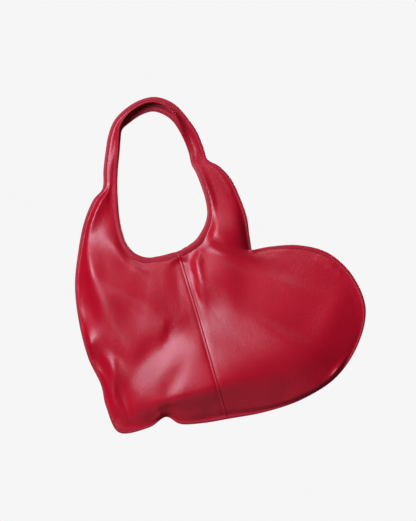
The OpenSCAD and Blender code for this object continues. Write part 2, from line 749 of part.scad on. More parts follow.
module zip_slider() {
    nose = slider_w / 2 * nose_share;
    color(nickel) translate([slider_x, zip_y, zip_z]) {
        difference() {
            rotate([90, 0, 0]) linear_extrude(2 * slider_half_t, center = true) polygon([
                [-slider_l / 2, -nose], [0, -slider_w / 2], [slider_l / 2, -slider_w / 2],
                [slider_l / 2, slider_w / 2], [0, slider_w / 2], [-slider_l / 2, nose]
            ]);
            cube([slider_l + overrun, 2 * channel_half_t, 2 * channel_half_h], center = true);
            cube([slider_l + overrun, zip_tape_t + 2 * run_gap, slider_w + overrun], center = true);
        }
        translate([slider_l / 2 - post_l, -channel_half_t - ply_gap, -row_edge + run_gap])
            cube([post_l, 2 * (channel_half_t + ply_gap), 2 * (row_edge - run_gap)]);
        for (side = [1, -1])
            translate([side * (bar_l - post_l) / 2 - post_l / 2, -bar_out - bar_r, -bar_r])
                cube([post_l, bar_out + bar_r - slider_half_t + ply_gap, 2 * bar_r]);
        translate([-bar_l / 2, -bar_out, 0]) rotate([0, 90, 0]) cylinder(r = bar_r, h = bar_l);
    }
}

module zip_pull() {
    barrel_l = bar_l - 2 * post_l - 2 * run_gap;
    eye_r = pull_w * eye_share / 2;
    color(nickel) translate([slider_x, zip_y - bar_out, zip_z]) difference() {
        union() {
            rotate([0, 90, 0]) cylinder(r = barrel_r, h = barrel_l, center = true);
            rotate([90, 0, 0]) linear_extrude(pull_t, center = true) {
                polygon([
                    [-barrel_l / 2, 0], [barrel_l / 2, 0],
                    [pull_w / 2, pull_w / 2 - pull_l], [-pull_w / 2, pull_w / 2 - pull_l]
                ]);
                translate([0, pull_w / 2 - pull_l]) circle(d = pull_w);
            }
        }
        rotate([0, 90, 0]) cylinder(r = bar_r + ply_gap, h = barrel_l + overrun, center = true);
        translate([0, 0, pull_w / 2 - pull_l]) rotate([90, 0, 0])
            cylinder(r = eye_r, h = pull_t + overrun, center = true);
    }
}

// Flat pouch behind the lining, open at the window that its zip closes
module pocket_outline(inset) {
    w = tape_l / 2 - inset;
    top = tape_top + pocket_cloth_t - inset;
    low = -pocket_h + inset;
    r = pocket_corner_share * pocket_h;
    translate([-w, low + r]) square([2 * w, top - low - r]);
    translate([-w + r, low]) square([2 * (w - r), r + ply_gap]);
    for (side = [1, -1]) translate([side * (w - r), low + r]) circle(r = r);
}

module pocket_bag() {
    color(dark_cloth) difference() {
        zip_plate(pocket_front_y, pocket_depth) pocket_outline(0);
        zip_plate(pocket_front_y + pocket_cloth_t, pocket_depth - 2 * pocket_cloth_t)
            pocket_outline(pocket_cloth_t);
        zip_plate(pocket_front_y - overrun, pocket_cloth_t + 2 * overrun)
            square([window_l, zip_window_h], center = true);
    }
}

strap_front_layer();
strap_back_layer();
strap_edge_binding();
strap_core_tape();
root_folds();
front_left_panel();
front_right_panel();
back_left_panel();
back_right_panel();
front_seam_welt();
back_seam_welt();
edge_binding();
front_mouth_binding();
back_mouth_binding();
front_facing();
back_facing();
front_lining();
back_lining();
snap_socket();
snap_magnet();
snap_stud();
socket_washer();
stud_washer();
pocket_bag();
pocket_frame();
zip_tapes();
zip_teeth();
zip_stops();
zip_slider();
zip_pull();
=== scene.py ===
"""Looks for the heart shaped purse: leather shells, bindings, stitches, lining, metal and light."""

import math

import bpy
import bmesh
import numpy as np
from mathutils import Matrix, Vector, noise


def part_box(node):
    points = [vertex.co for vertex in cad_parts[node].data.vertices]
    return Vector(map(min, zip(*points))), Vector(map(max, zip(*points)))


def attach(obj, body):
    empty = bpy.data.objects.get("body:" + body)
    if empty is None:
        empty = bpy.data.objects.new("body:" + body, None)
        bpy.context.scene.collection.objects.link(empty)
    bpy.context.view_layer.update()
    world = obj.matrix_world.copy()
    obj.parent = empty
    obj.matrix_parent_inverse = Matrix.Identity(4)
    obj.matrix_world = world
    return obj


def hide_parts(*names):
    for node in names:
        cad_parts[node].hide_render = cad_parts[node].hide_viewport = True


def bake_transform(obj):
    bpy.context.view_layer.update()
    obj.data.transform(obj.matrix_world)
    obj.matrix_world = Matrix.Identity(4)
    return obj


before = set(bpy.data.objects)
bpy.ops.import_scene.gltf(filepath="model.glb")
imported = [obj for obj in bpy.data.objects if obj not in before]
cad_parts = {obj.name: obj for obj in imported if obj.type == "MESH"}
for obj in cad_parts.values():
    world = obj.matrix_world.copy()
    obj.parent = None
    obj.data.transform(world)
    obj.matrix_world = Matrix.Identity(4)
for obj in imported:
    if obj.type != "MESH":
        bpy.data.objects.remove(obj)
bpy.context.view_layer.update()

# One millimetre in the frame's metres. Other lengths are in millimetres and angles in degrees,
# unless a comment says otherwise.
MM = 0.001

# The heart's height, the strap, and half the depth at the fullest line and at the mouth's lips
HEART_H = 355.0
STRAP_W = 19.0
STRAP_RISE = 101.0
HALF_DEPTH = 31.0
LIP_HALF = 12.0

# Thicknesses of the plies, and how far inside the leather's crown the lining lies
LEATHER_T = 1.2
LINING_T = 0.6
LINING_EASE = 1.2
BINDING_T = 0.8
PLY_HALF = LINING_T + LEATHER_T
PLY_GAP = 0.05

# Widths of the rim binding and of the mouth's hem, and how far in from the edge both reach
RIM_W = 4.0
MOUTH_W = 5.0
RIM_REACH = BINDING_T + RIM_W
HEM_REACH = BINDING_T + MOUTH_W

# The strap: where its turned out layer starts to bend, how long the bend is, the least turn in
# radians that is worked with, the turns looked up for an apparent width, and each layer's crown
BEND_AT = RIM_REACH
BEND_L = 4.0
LEAST_TURN = 1e-4
MOST_TURN = 130
TURN_STEPS = 400
STRAP_CROWN = 1.0

# Grids: distance of the rows, least rows between two stations, how many times as many beside the
# seam, columns from rim to mouth, how strongly those are drawn to both ends, and the angle from
# which an edge is shaded sharp
ROW_PITCH = 2.7
LEAST_ROWS = 4
SEAM_ROWS = 2
COLUMNS = 46
COLUMN_DRAW = 0.13
SHARP_ANGLE = 50

# Shells: exponent of their crown, the least height as a share of the crown that a hollow leaves,
# the height over which a hollow levels out there, and the share of a station's step that the
# lining leaves free at the strap's roots
CROWN_POWER = 2.15
LEAST_RISE = 0.35
FLAT_RISE = 0.8
ROOT_GAP = 0.15

# Relief: the margin in which swells fade beside the rim and the hem, the groove along the seam,
# the puckers beside the rim, and small creases as height, size and seed. STRAP_CALM is the share
# of it all that the strap doesn't have.
SWELL_FADE = 9
GROOVE_DEPTH = 0.9
GROOVE_W = 3.4
PUCKER_H = 0.9
PUCKER_SIZE = 9
PUCKER_REACH = 9
PUCKER_STRETCH = 0.35
PUCKER_RIM_FADE = 3
PUCKER_LIP_FADE = 6
CREASES = [(0.06, 34, 3), (0.05, 12, 7)]
STRAP_CALM = 0.85
FRONT_SEED = 1.5
BACK_SEED = 11.5

# Stitches: their pitch, length and radius, the sides of the thread, the share of its length at
# which it's full, how many radii its ends sink, and how far on a line's direction is taken
STITCH_PITCH = 3.0
STITCH_L = 2.1
STITCH_R = 0.27
STITCH_SIDES = 6
STITCH_FULL = 0.3
STITCH_SINK = 0.7
LOOK_AHEAD = 0.1

# Lines of stitches: on the rim their share of its width and height over it, on the hem their
# depth in, distance to the columns beside them and height, and over the seam their height
RIM_STITCH_SHARE = 0.62
RIM_STITCH_RISE = 0.16
HEM_STITCH_IN = MOUTH_W - 0.6
HEM_BESIDE = 0.5
HEM_STITCH_RISE = BINDING_T + 0.05
WELT_STITCH_RISE = 1.06

# Section of the seam's welt: across and up
WELT_SECTION = [
    (-1.9, -0.2), (-1.8, 0.45), (-1.2, 0.85), (0, 1.0), (1.2, 0.85), (1.8, 0.4), (1.9, -0.2),
]

# Front half of the rim binding's outside: depth in from the edge, and height over the middle plane
RIM_LOW = PLY_HALF + PLY_GAP
RIM_HIGH = PLY_HALF + PLY_GAP + BINDING_T
RIM_SECTION = [
    (RIM_REACH, RIM_LOW + 0.25),
    (RIM_REACH - 0.35, RIM_HIGH - 0.05),
    (RIM_REACH / 2, RIM_HIGH + 0.12),
    (1.1, RIM_HIGH - 0.05),
    (0.3, RIM_HIGH * 0.7),
    (0, RIM_HIGH * 0.3),
]

# Section of the mouth's hem: depth in from the edge, and height over the leather's face
HEM_UNDER = -LEATHER_T - 0.4
HEM_SECTION = [
    (HEM_REACH, 0.1),
    (HEM_REACH - 0.4, BINDING_T),
    (HEM_REACH / 2, BINDING_T + 0.1),
    (0.9, BINDING_T),
    (0.2, BINDING_T * 0.4),
    (0, -LEATHER_T / 2),
    (0, HEM_UNDER),
    (HEM_REACH * 0.6, HEM_UNDER),
    (HEM_REACH * 0.6, -LEATHER_T + 0.02),
    (BINDING_T, -LEATHER_T),
    (BINDING_T, 0),
]

# Lining: the share of the wall at which the facing takes over, the level at which the back one
# stops rising, and the columns of the lining and the facing
FACING_SHARE = 0.8
LINING_PLANE = LIP_HALF - LINING_EASE
LINING_COLUMNS = 26
FACING_COLUMNS = 14

# Pocket: the frame's width, its rounded edge as distance in and behind its face, and its rows
FRAME_W = 5.0
FRAME_EDGE = [(0.0, 0.4), (0.3, 0.1), (1.2, 0.0)]
FRAME_ROWS = 24
FRAME_STITCH_ROWS = 60

# How far the window's cutter passes the frame, half the gap between the zip's tapes, their grid
WINDOW_REACH = 10
ZIP_HALF_GAP = 1.5
TAPE_GRID = (60, 8)

# Pouch: its rings, points, exponent of its rounded corners, cloth's thickness and waves
POUCH_RINGS = 18
POUCH_FIRST = 0.02
POUCH_POINTS = 97
POUCH_CORNER = 5.0
POUCH_T = 0.4
POUCH_WAVES = 5
POUCH_WAVE_SHARE = 0.12

# Tape under the strap's crest: the least share of strap in its rows, how far in it reaches, half
# its thickness and its columns
CORE_SHARE = 0.6
CORE_REACH = BINDING_T + 9
CORE_HALF = 0.45
CORE_COLUMNS = 8

# Distance of the camera, and level and size of the floor, in metres
CAMERA_FAR = 3.0
FLOOR_Z = -1.25
FLOOR_SIZE = 1.5

# The surrounding: its colour, its strength as a light, and its strength in glossy reflections
SURROUNDING = (0.92, 0.92, 0.92, 1)
AMBIENT = 0.13
REFLECTED = 0.01


def box_of(node):
    """Lowest and highest corner of a node's solid, in metres."""
    return [np.array(corner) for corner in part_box(node)]


# The heart's box in the frame
rim_low, rim_high = (corner / MM for corner in box_of("edge_binding"))
HEART_W = rim_high[0] - rim_low[0]
HEART_X = rim_low[0]
HEART_Z = rim_low[2]

# The photograph's frame: millimetres for one pixel, and the pixel at the frame's origin
PIXEL = 1.3
PIXEL_X = 152.0
PIXEL_Z = 111.6
PHOTO_W = 416
PHOTO_H = 521

# Stations of the two halves, as shares of the heart's width from its left side and of its height
# from its tip. The left half runs from its strap root round the tip to the foot of the seam.
LEFT_EDGE = [
    (0.095, 0.894), (0.062, 0.850), (0.031, 0.769), (0.012, 0.667), (0, 0.538),
    (0.014, 0.403), (0.045, 0.275), (0.089, 0.176), (0.107, 0.095), (0.152, 0),
    (0.254, 0.018), (0.313, 0.057), (0.364, 0.031), (0.443, 0.035), (0.522, 0.049),
]
LEFT_MIDDLE = [
    (0.120, 0.901), (0.103, 0.850), (0.089, 0.777), (0.086, 0.696), (0.089, 0.608),
    (0.110, 0.509), (0.141, 0.436), (0.175, 0.374), (0.203, 0.330), (0.230, 0.293),
    (0.285, 0.282), (0.326, 0.293), (0.364, 0.315), (0.402, 0.344), (0.440, 0.363),
]
LEFT_MOUTH = [
    (0.146, 0.908), (0.148, 0.850), (0.153, 0.784), (0.163, 0.733), (0.177, 0.692),
    (0.201, 0.661), (0.225, 0.647), (0.244, 0.642), (0.261, 0.641), (0.278, 0.644),
    (0.299, 0.648), (0.320, 0.654), (0.337, 0.659), (0.347, 0.661), (0.354, 0.664),
]
RIGHT_EDGE = [
    (0.457, 1), (0.498, 0.974), (0.538, 0.927), (0.567, 0.863), (0.591, 0.791),
    (0.600, 0.725), (0.608, 0.668), (0.677, 0.682), (0.773, 0.686), (0.873, 0.657),
    (0.955, 0.575), (1, 0.454), (0.973, 0.321), (0.897, 0.201), (0.780, 0.121),
    (0.653, 0.075), (0.522, 0.049),
]
RIGHT_MIDDLE = [
    (0.430, 0.992), (0.457, 0.963), (0.486, 0.916), (0.509, 0.857), (0.524, 0.797),
    (0.531, 0.740), (0.536, 0.685), (0.577, 0.623), (0.622, 0.560), (0.660, 0.498),
    (0.684, 0.436), (0.684, 0.377), (0.663, 0.333), (0.625, 0.304), (0.577, 0.300),
    (0.519, 0.322), (0.440, 0.363),
]
RIGHT_MOUTH = [
    (0.400, 0.984), (0.416, 0.952), (0.433, 0.907), (0.448, 0.857), (0.455, 0.806),
    (0.448, 0.766), (0.433, 0.733), (0.418, 0.709), (0.405, 0.696), (0.395, 0.689),
    (0.387, 0.682), (0.378, 0.678), (0.372, 0.674), (0.368, 0.671), (0.364, 0.668),
    (0.361, 0.667), (0.354, 0.664),
]
# Rise at the fullest line as a share of HALF_DEPTH, and at the mouth as a share of LIP_HALF
LEFT_RISE = [
    (0, 0), (0.08, 0.25), (0.22, 0.5), (0.38, 0.72), (0.52, 0.88),
    (0.66, 0.97), (0.76, 1), (0.82, 1), (0.86, 1), (0.9, 1),
    (0.94, 1), (0.96, 1), (0.98, 1), (1, 1), (1, 1),
]
RIGHT_RISE = [
    (0, 0), (0.08, 0.25), (0.2, 0.5), (0.32, 0.7), (0.42, 0.84),
    (0.52, 0.93), (0.58, 0.97), (0.68, 1), (0.78, 1), (0.86, 1),
    (0.92, 1), (0.95, 1), (0.98, 1), (1, 1), (1, 1),
    (1, 1), (1, 1),
]
# The strap's crest between its roots: across as a share of the heart's width, rise above the
# line through the roots as a share of STRAP_RISE, and the direction to its inner edge in degrees
CREST = [
    (0.098, 0.229), (0.105, 0.456), (0.115, 0.665), (0.134, 0.826), (0.168, 0.933),
    (0.216, 1), (0.265, 1.002), (0.309, 0.93), (0.351, 0.797), (0.388, 0.603),
    (0.419, 0.403), (0.442, 0.173),
]
CREST_TURNS = [4, 0, -22, -46, -64, -78, -90, -101, -112, -131, -143, -160]
# Apparent width of each layer of the strap as a share of STRAP_W
FRONT_LAYER = [1, 0.9, 0.76, 0.55, 0.38, 0.3, 0.3, 0.39, 0.56, 0.76, 0.98, 1]
BACK_LAYER = [1, 0.97, 0.9, 0.82, 0.95, 0.99, 1, 1.03, 1.03, 1, 1.08, 1.08]
# Stations whose edge has a corner, and the parameter of the last station
CORNERS = {33}
LAST_STATION = len(LEFT_EDGE) + len(CREST) + len(RIGHT_EDGE) - 1


def heart(shares):
    """Points of the heart's plane, in millimetres, from shares of its width and height."""
    return np.array(shares, float) * (HEART_W, HEART_H) + (HEART_X, HEART_Z)


left_root, right_root = heart(LEFT_EDGE)[0], heart(RIGHT_EDGE)[0]
fold_run = (right_root - left_root) / np.linalg.norm(right_root - left_root)


def crest_points():
    """The strap's outer edge between its two roots."""
    across, up = np.array(CREST, float).T
    x = across * HEART_W + HEART_X
    base = left_root[1] + (x - left_root[0]) * fold_run[1] / fold_run[0]
    return np.stack([x, base + up * STRAP_RISE], 1)


def curve_at(points, t, corners=()):
    """Smooth curve through the rows of points at the parameters t, with a break at each corner."""
    p = np.asarray(points, float)
    step = np.diff(p, axis=0)
    before = np.concatenate([step[:1], step])
    after = np.concatenate([step, step[-1:]])
    arrive, leave = (before + after) / 2, (before + after) / 2
    for i in corners:
        arrive[i], leave[i] = before[i], after[i]
    i = np.minimum(t.astype(int), len(p) - 2)
    f = (t - i)[:, None]
    return ((2 * f**3 - 3 * f**2 + 1) * p[i] + (f**3 - 2 * f**2 + f) * leave[i]
            + (3 * f**2 - 2 * f**3) * p[i + 1] + (f**3 - f**2) * arrive[i + 1])


def smooth(a, b, x):
    """Smooth step from 0 at a to 1 at b."""
    t = np.clip((x - a) / (b - a), 0, 1)
    return t * t * (3 - 2 * t)


def bent(s, turn):
    """A strip turned out past BEND_AT by an angle: how far its points at s reach in, and out."""
    turn = np.maximum(turn, LEAST_TURN)
    here = turn * np.clip((s - BEND_AT) / BEND_L, 0, 1)
    past = np.maximum(0, s - BEND_AT - BEND_L)
    inwards = np.minimum(s, BEND_AT) + BEND_L / turn * np.sin(here) + past * np.cos(turn)
    outwards = BEND_L / turn * (1 - np.cos(here)) + past * np.sin(turn)
    return inwards, outwards


def turn_for(width):
    """Angle, in radians, at which a strip of STRAP_W reaches in by an apparent width."""
    turns = np.linspace(0, math.radians(MOST_TURN), TURN_STEPS)
    reach = np.array([bent(STRAP_W, turn)[0] for turn in turns])
    return np.interp(-width, -reach, turns)


def row_places(edge):
    """Parameters of the rows: a whole number for each station, and even steps between them."""
    gaps = np.linalg.norm(np.diff(edge, axis=0), axis=1)
    parts = np.maximum(LEAST_ROWS, np.round(gaps / ROW_PITCH)).astype(int)
    parts[[0, -1]] *= SEAM_ROWS
    steps = [i + np.arange(n) / n for i, n in enumerate(parts)]
    return np.concatenate(steps + [[len(edge) - 1.0]])


class Side:
    """One side of the purse, as rows round the whole rim: seam, left half, strap, right half."""

    def __init__(self, name, sign, layer, turned, swells, seed):
        self.name = name
        self.sign = sign
        self.swells = swells
        self.seed = seed
        crest = crest_points()
        inward = np.radians(CREST_TURNS)
        width = np.array(layer) * STRAP_W
        inner = crest + width[:, None] * np.stack([np.cos(inward), np.sin(inward)], 1)
        edge = np.concatenate([heart(LEFT_EDGE)[::-1], crest, heart(RIGHT_EDGE)])
        mouth = np.concatenate([heart(LEFT_MOUTH)[::-1], inner, heart(RIGHT_MOUTH)])
        middle = np.concatenate(
            [heart(LEFT_MIDDLE)[::-1], (crest + inner) / 2, heart(RIGHT_MIDDLE)])
        rises = LEFT_RISE[::-1] + [(0, 0)] * len(CREST) + RIGHT_RISE
        turns = turn_for(width) if turned else np.zeros(len(width))
        turn = np.concatenate([np.zeros(len(LEFT_EDGE)), turns, np.zeros(len(RIGHT_EDGE))])
        is_strap = np.zeros(len(edge))
        is_strap[len(LEFT_EDGE):-len(RIGHT_EDGE)] = 1
        t = row_places(edge)
        self.t = t
        self.edge = curve_at(edge, t, CORNERS)
        self.middle = curve_at(middle, t)
        self.mouth = curve_at(mouth, t)
        self.rise = np.maximum(0, curve_at(rises, t)) * (HALF_DEPTH, LIP_HALF)
        self.turn = np.maximum(0, curve_at(turn[:, None], t)[:, 0])
        self.strap = np.clip(curve_at(is_strap[:, None], t)[:, 0], 0, 1)
        flat = (np.linalg.norm(self.middle - self.edge, axis=1)
                + np.linalg.norm(self.mouth - self.middle, axis=1))
        self.length = flat + self.strap * (np.maximum(flat, STRAP_W) - flat) * turned
        height = np.where(self.strap < 0.5, -np.inf, self.edge[:, 1] * self.strap)
        self.apex = int(np.argmax(height))

    def rows(self, chosen):
        """The chosen rows, as a side of its own."""
        part = Side.__new__(Side)
        for name, value in self.__dict__.items():
            setattr(part, name, value[chosen] if isinstance(value, np.ndarray) else value)
        return part

    def bag(self):
        """The rows of the heart alone, from the left root over the seam to the right root."""
        left = np.flatnonzero(self.t <= len(LEFT_EDGE) - 1 - ROOT_GAP)[::-1]
        right = np.flatnonzero(self.t >= self.t[-1] - len(RIGHT_EDGE) + 1 + ROOT_GAP)[::-1]
        return self.rows(np.concatenate([left, right[1:]]))

    def wall(self):
        """v where the crowned wall starts beside the rim binding, and where it ends at the lip."""
        length = self.length[:, None]
        return RIM_REACH / length, 1 - HEM_REACH / length

    def at(self, v):
        """Points of the heart's plane at v, an array of rows by columns, from rim to mouth."""
        a, b, c = (p[:, None, :] for p in (self.edge, self.middle, self.mouth))
        turn = self.turn[:, None]
        share = bent(v * STRAP_W, turn)[0] / bent(STRAP_W, turn)[0]
        w = (v + self.strap[:, None] * (share - v))[:, :, None]
        return a * (1 - w) * (1 - 2 * w) + b * 4 * w * (1 - w) + c * w * (2 * w - 1)

    def crown(self, v):
        """Rise over the flat rim at v: crowned on the shells, turned out forwards on the strap."""
        start, stop = self.wall()
        w = np.clip((v - start) / (stop - start), 0, 1)
        full = 1 - np.abs(2 * w - 1) ** CROWN_POWER
        shell = full * self.rise[:, :1] + w * (2 * w - 1) * self.rise[:, 1:]
        strap = bent(v * STRAP_W, self.turn[:, None])[1] + STRAP_CROWN * full
        mix = self.strap[:, None]
        return shell * (1 - mix) + strap * mix

    def columns(self):
        """v of each column: closer together at the rim and the mouth."""
        u = np.linspace(0, 1, COLUMNS)
        u = u - COLUMN_DRAW * np.sin(2 * np.pi * u)
        end = BINDING_T / self.length[:, None]
        return end + (1 - 2 * end) * u[None, :]


def placed(plane, y):
    """Points of the frame, in metres, from points of the heart's plane and y in millimetres."""
    return np.stack([plane[..., 0], y, plane[..., 1]], -1) * MM


def pixels(plane):
    """Photograph pixels of points of the heart's plane."""
    return np.stack([plane[..., 0] / PIXEL + PIXEL_X, PIXEL_Z - plane[..., 1] / PIXEL], -1)


# Swells and hollows of the leather: the middle in photograph pixels, the direction in degrees
# clockwise from the right, half the length, half the width and the height in millimetres, and how
# much steeper the swell is on its lower or right hand side.
FRONT_SWELLS = {
    "ear_top_ridge": (89.2, 208.8, -59, 58.7, 19.6, 10.75, 0.32),
    "left_rim_ridge": (91.1, 267.0, 78, 33.6, 10.0, 9.0, 0.30),
    "pinch_hollow": (89.8, 306.3, 79, 29.2, 15.2, -8.35, -0.24),
    "pinch_ridge": (102.6, 300.7, 64, 41.8, 30.2, 8.07, -0.09),
    "low_rim_hollow": (110.6, 332.7, 57, 20.3, 10.3, -2.47, -0.45),
    "low_rim_ridge": (87.5, 345.2, -78, 16.1, 14.2, 7.61, 0.20),
    "left_corner_hollow": (100.1, 363.1, 63, 20.0, 10.7, -6.67, -0.05),
    "left_corner_ridge_1": (97.5, 377.9, 32, 10.9, 8.5, 3.31, -0.19),
    "left_corner_ridge_2": (101.9, 387.9, 72, 18.9, 8.5, 2.97, -0.07),
    "tip_hollow_1": (144.2, 423.4, -34, 43.5, 23.2, -9.89, -0.42),
    "tip_hollow_2": (110.1, 398.9, -51, 30.4, 17.8, -9.53, 0.45),
    "tip_hollow_3": (127.5, 413.3, 72, 18.8, 8.5, -6.57, -0.45),
    "tip_hollow_4": (114.1, 420.1, 89, 14.9, 9.6, -5.97, -0.38),
    "tip_hollow_5": (119.0, 417.3, -67, 75.0, 14.4, -5.94, -0.05),
    "tip_hollow_6": (123.4, 401.1, -47, 11.9, 13.3, -3.48, -0.45),
    "tip_hollow_7": (116.3, 412.0, 61, 10.1, 8.7, -1.73, -0.45),
    "tip_ridge_1": (111.8, 414.4, -89, 71.1, 8.5, 6.05, 0.34),
    "tip_ridge_2": (119.2, 402.4, 61, 23.8, 8.5, 5.86, 0.18),
    "tip_ridge_3": (115.8, 403.0, -79, 14.5, 10.1, 4.07, 0.36),
    "tip_ridge_4": (150.2, 420.5, 8, 12.5, 10.0, 3.83, 0.45),
    "tip_ridge_5": (127.0, 420.6, -44, 9.6, 9.1, 3.66, 0.44),
    "tip_ridge_6": (119.8, 414.9, -51, 10.9, 9.3, 2.62, 0.36),
    "tip_ridge_7": (116.9, 410.2, -61, 16.0, 8.9, 2.11, -0.02),
    "tip_ridge_8": (111.6, 421.5, -46, 10.5, 10.2, 1.80, -0.43),
    "mouth_left_ridge": (129.2, 255.4, 43, 26.5, 8.5, 5.36, 0.10),
    "diagonal_hollow": (126.6, 306.9, 28, 37.7, 16.2, -10.27, -0.69),
    "diagonal_ridge_1": (130.9, 305.5, 23, 41.6, 11.6, 4.12, -0.39),
    "diagonal_ridge_2": (140.0, 312.9, 24, 61.3, 13.3, 1.34, -0.28),
    "band_left_hollow_1": (150.5, 349.4, -66, 37.3, 43.9, -10.41, -0.08),
    "band_left_hollow_2": (117.0, 356.5, 44, 31.0, 11.0, -6.0, 0.20),
    "band_left_ridge": (140.9, 345.6, -34, 75.0, 50.0, 7.84, 0.23),
    "band_hollow_1": (168.1, 332.4, -58, 13.0, 6.2, -3.57, -0.68),
    "band_hollow_2": (165.5, 344.1, -34, 50.3, 14.0, -3.52, -0.15),
    "band_ridge": (168.9, 350.5, -80, 32.0, 11.8, 0.66, -0.02),
    "band_low_hollow": (158.4, 366.8, -45, 27.3, 7.1, -0.78, -0.16),
    "second_band_hollow": (179.8, 371.5, -64, 18.2, 8.6, -1.07, 0.18),
    "second_band_ridge": (199.3, 349.9, -69, 26.6, 11.8, 0.63, 0.19),
    "dent_hollow_1": (180.9, 404.6, -35, 29.9, 13.3, -4.75, -0.28),
    "dent_hollow_2": (165.5, 409.0, -37, 22.8, 8.5, -3.42, -0.17),
    "dent_hollow_3": (152.1, 418.3, 3, 9.0, 8.5, -3.19, -0.45),
    "dent_hollow_4": (158.2, 408.3, 16, 9.0, 11.0, -1.29, -0.35),
    "dent_ridge_1": (162.6, 417.5, 58, 9.0, 8.6, 8.53, 0.33),
    "dent_ridge_2": (172.7, 404.8, -27, 75.0, 15.7, 7.93, 0.15),
    "dent_ridge_3": (168.1, 397.7, -17, 50.0, 11.2, 4.24, 0.51),
    "dent_ridge_4": (166.3, 403.7, -22, 26.8, 8.1, 4.19, 0.10),
    "dent_ridge_5": (160.5, 418.2, 42, 10.7, 8.7, 3.78, 0.44),
    "dent_ridge_6": (159.4, 421.4, 3, 15.9, 9.1, 3.68, 0.17),
    "seam_left_hollow_1": (195.8, 292.2, 81, 47.3, 8.5, -8.27, -0.37),
    "seam_left_hollow_2": (181.1, 271.3, 81, 36.7, 18.5, -6.88, 0.36),
    "seam_left_hollow_3": (200.8, 296.3, 66, 22.6, 12.0, -4.59, 0.45),
    "seam_right_ridge_1": (197.8, 278.7, 87, 54.2, 8.5, 11.0, -0.31),
    "seam_right_ridge_2": (206.8, 284.3, 90, 25.6, 8.5, 5.49, 0.45),
    "seam_patch_hollow_1": (194.1, 308.5, 21, 47.6, 31.3, -10.30, -0.32),
    "seam_patch_hollow_2": (217.0, 328.3, 14, 71.6, 20.7, -5.66, 0.15),
    "seam_patch_ridge": (229.1, 318.2, -1, 74.9, 50.0, 7.76, 0.35),
    "seam_low_ridge_1": (214.7, 376.8, 0, 75.0, 43.3, 11.0, -0.27),
    "seam_low_ridge_2": (208.2, 393.1, -20, 64.3, 13.4, 4.05, -0.40),
    "neck_hollow": (219.0, 202.0, 73, 60.0, 18.0, -6.0, 0.0),
    "cleft_hollow_1": (254.6, 261.0, 21, 72.4, 17.0, -9.84, 0.18),
    "cleft_hollow_2": (248.6, 281.7, 85, 45.7, 31.6, -7.41, 0.36),
    "cleft_ridge": (237.9, 248.4, 30, 75.0, 20.0, 11.0, 0.45),
    "lobe_rim_ridge": (333.7, 260.4, 31, 44.0, 8.5, 6.84, 0.13),
    "lobe_middle_hollow": (287.5, 309.1, 20, 67.7, 50.0, -6.53, 0.35),
    "lobe_end_ridge": (329.2, 320.2, -64, 50.4, 15.9, 2.38, -0.02),
    "lobe_low_ridge": (290.2, 345.2, 31, 57.9, 20.0, 6.93, -0.45),
    "pucker_ridge_1": (338.3, 374.0, -54, 17.5, 8.5, 9.52, -0.45),
    "pucker_ridge_2": (355.8, 342.4, -89, 17.4, 11.4, 1.17, 0.38),
    "low_edge_hollow": (282.2, 395.5, 32, 10.6, 12.9, -1.47, 0.45),
    "low_edge_ridge": (316.6, 394.7, -27, 75.0, 10.9, 9.26, 0.44),
    "bottom_hollow": (209.0, 415.7, 27, 13.8, 9.9, -2.62, 0.43),
}
BACK_SWELLS = {
    "left_of_seam": (182, 290, 78, 38, 9, 3.0, 0.0),
    "right_of_seam": (199, 292, 74, 38, 9, 3.0, 0.0),
    "seam_valley": (190, 276, 76, 26, 7, -2.5, 0.0),
    "cleft_valley": (246, 276, 100, 44, 20, -5.0, 0.0),
    "side_valley": (100, 310, 22, 36, 10, -3.0, 0.0),
    "side_ridge": (118, 332, 16, 44, 12, 4.0, 0.0),
    "bulge": (174, 376, -42, 40, 18, 5.0, 0.0),
    "dent": (176, 404, -20, 22, 8, -4.0, 0.0),
    "kink": (102, 378, 75, 22, 7, 2.4, 0.0),
    "lobe_fold": (322, 316, -26, 40, 14, 3.0, 0.0),
    "low_fold": (272, 386, -60, 30, 10, 2.4, 0.0),
}


def swell_height(at, x, y, turn, length, width, height, lean):
    """One swell at points in photograph pixels."""
    run = np.array([math.cos(math.radians(turn)), math.sin(math.radians(turn))])
    off = (at - (x, y)) * PIXEL
    along = off @ run / length
    aside = (off[..., 1] * run[0] - off[..., 0] * run[1]) / width
    aside *= np.exp(lean * np.tanh(aside))
    return height * np.exp(-along**2 - aside**2)


def rough(at, size, seed):
    """Smooth noise from -1 to 1 at points in millimetres, of one size."""
    flat = at.reshape(-1, 2) / size
    found = [noise.noise(Vector((x, z, seed))) for x, z in flat]
    return np.array(found).reshape(at.shape[:-1])


def seam_groove(side, plane):
    """Depth of the groove that the seam draws into the leather."""
    seam_row = int(np.argmin(np.minimum(side.t, LAST_STATION - side.t)))
    from_seam = np.linalg.norm(plane - plane[seam_row], axis=-1)
    return GROOVE_DEPTH * np.exp(-(from_seam / GROOVE_W) ** 2)


def rim_puckers(side, from_rim, from_lip):
    """Height of the puckers that run in from the rim and die out at the mouth's lip."""
    along = np.cumsum(np.r_[0, np.linalg.norm(np.diff(side.edge, axis=0), axis=1)])
    strip = np.stack(
        [np.broadcast_to(along[:, None], from_rim.shape), from_rim * PUCKER_STRETCH], -1)
    near_rim = np.exp(-np.maximum(from_rim, 0) / PUCKER_REACH)
    puckers = rough(strip, PUCKER_SIZE, side.seed) * near_rim * smooth(0, PUCKER_RIM_FADE, from_rim)
    return PUCKER_H * puckers * smooth(0, PUCKER_LIP_FADE, from_lip)


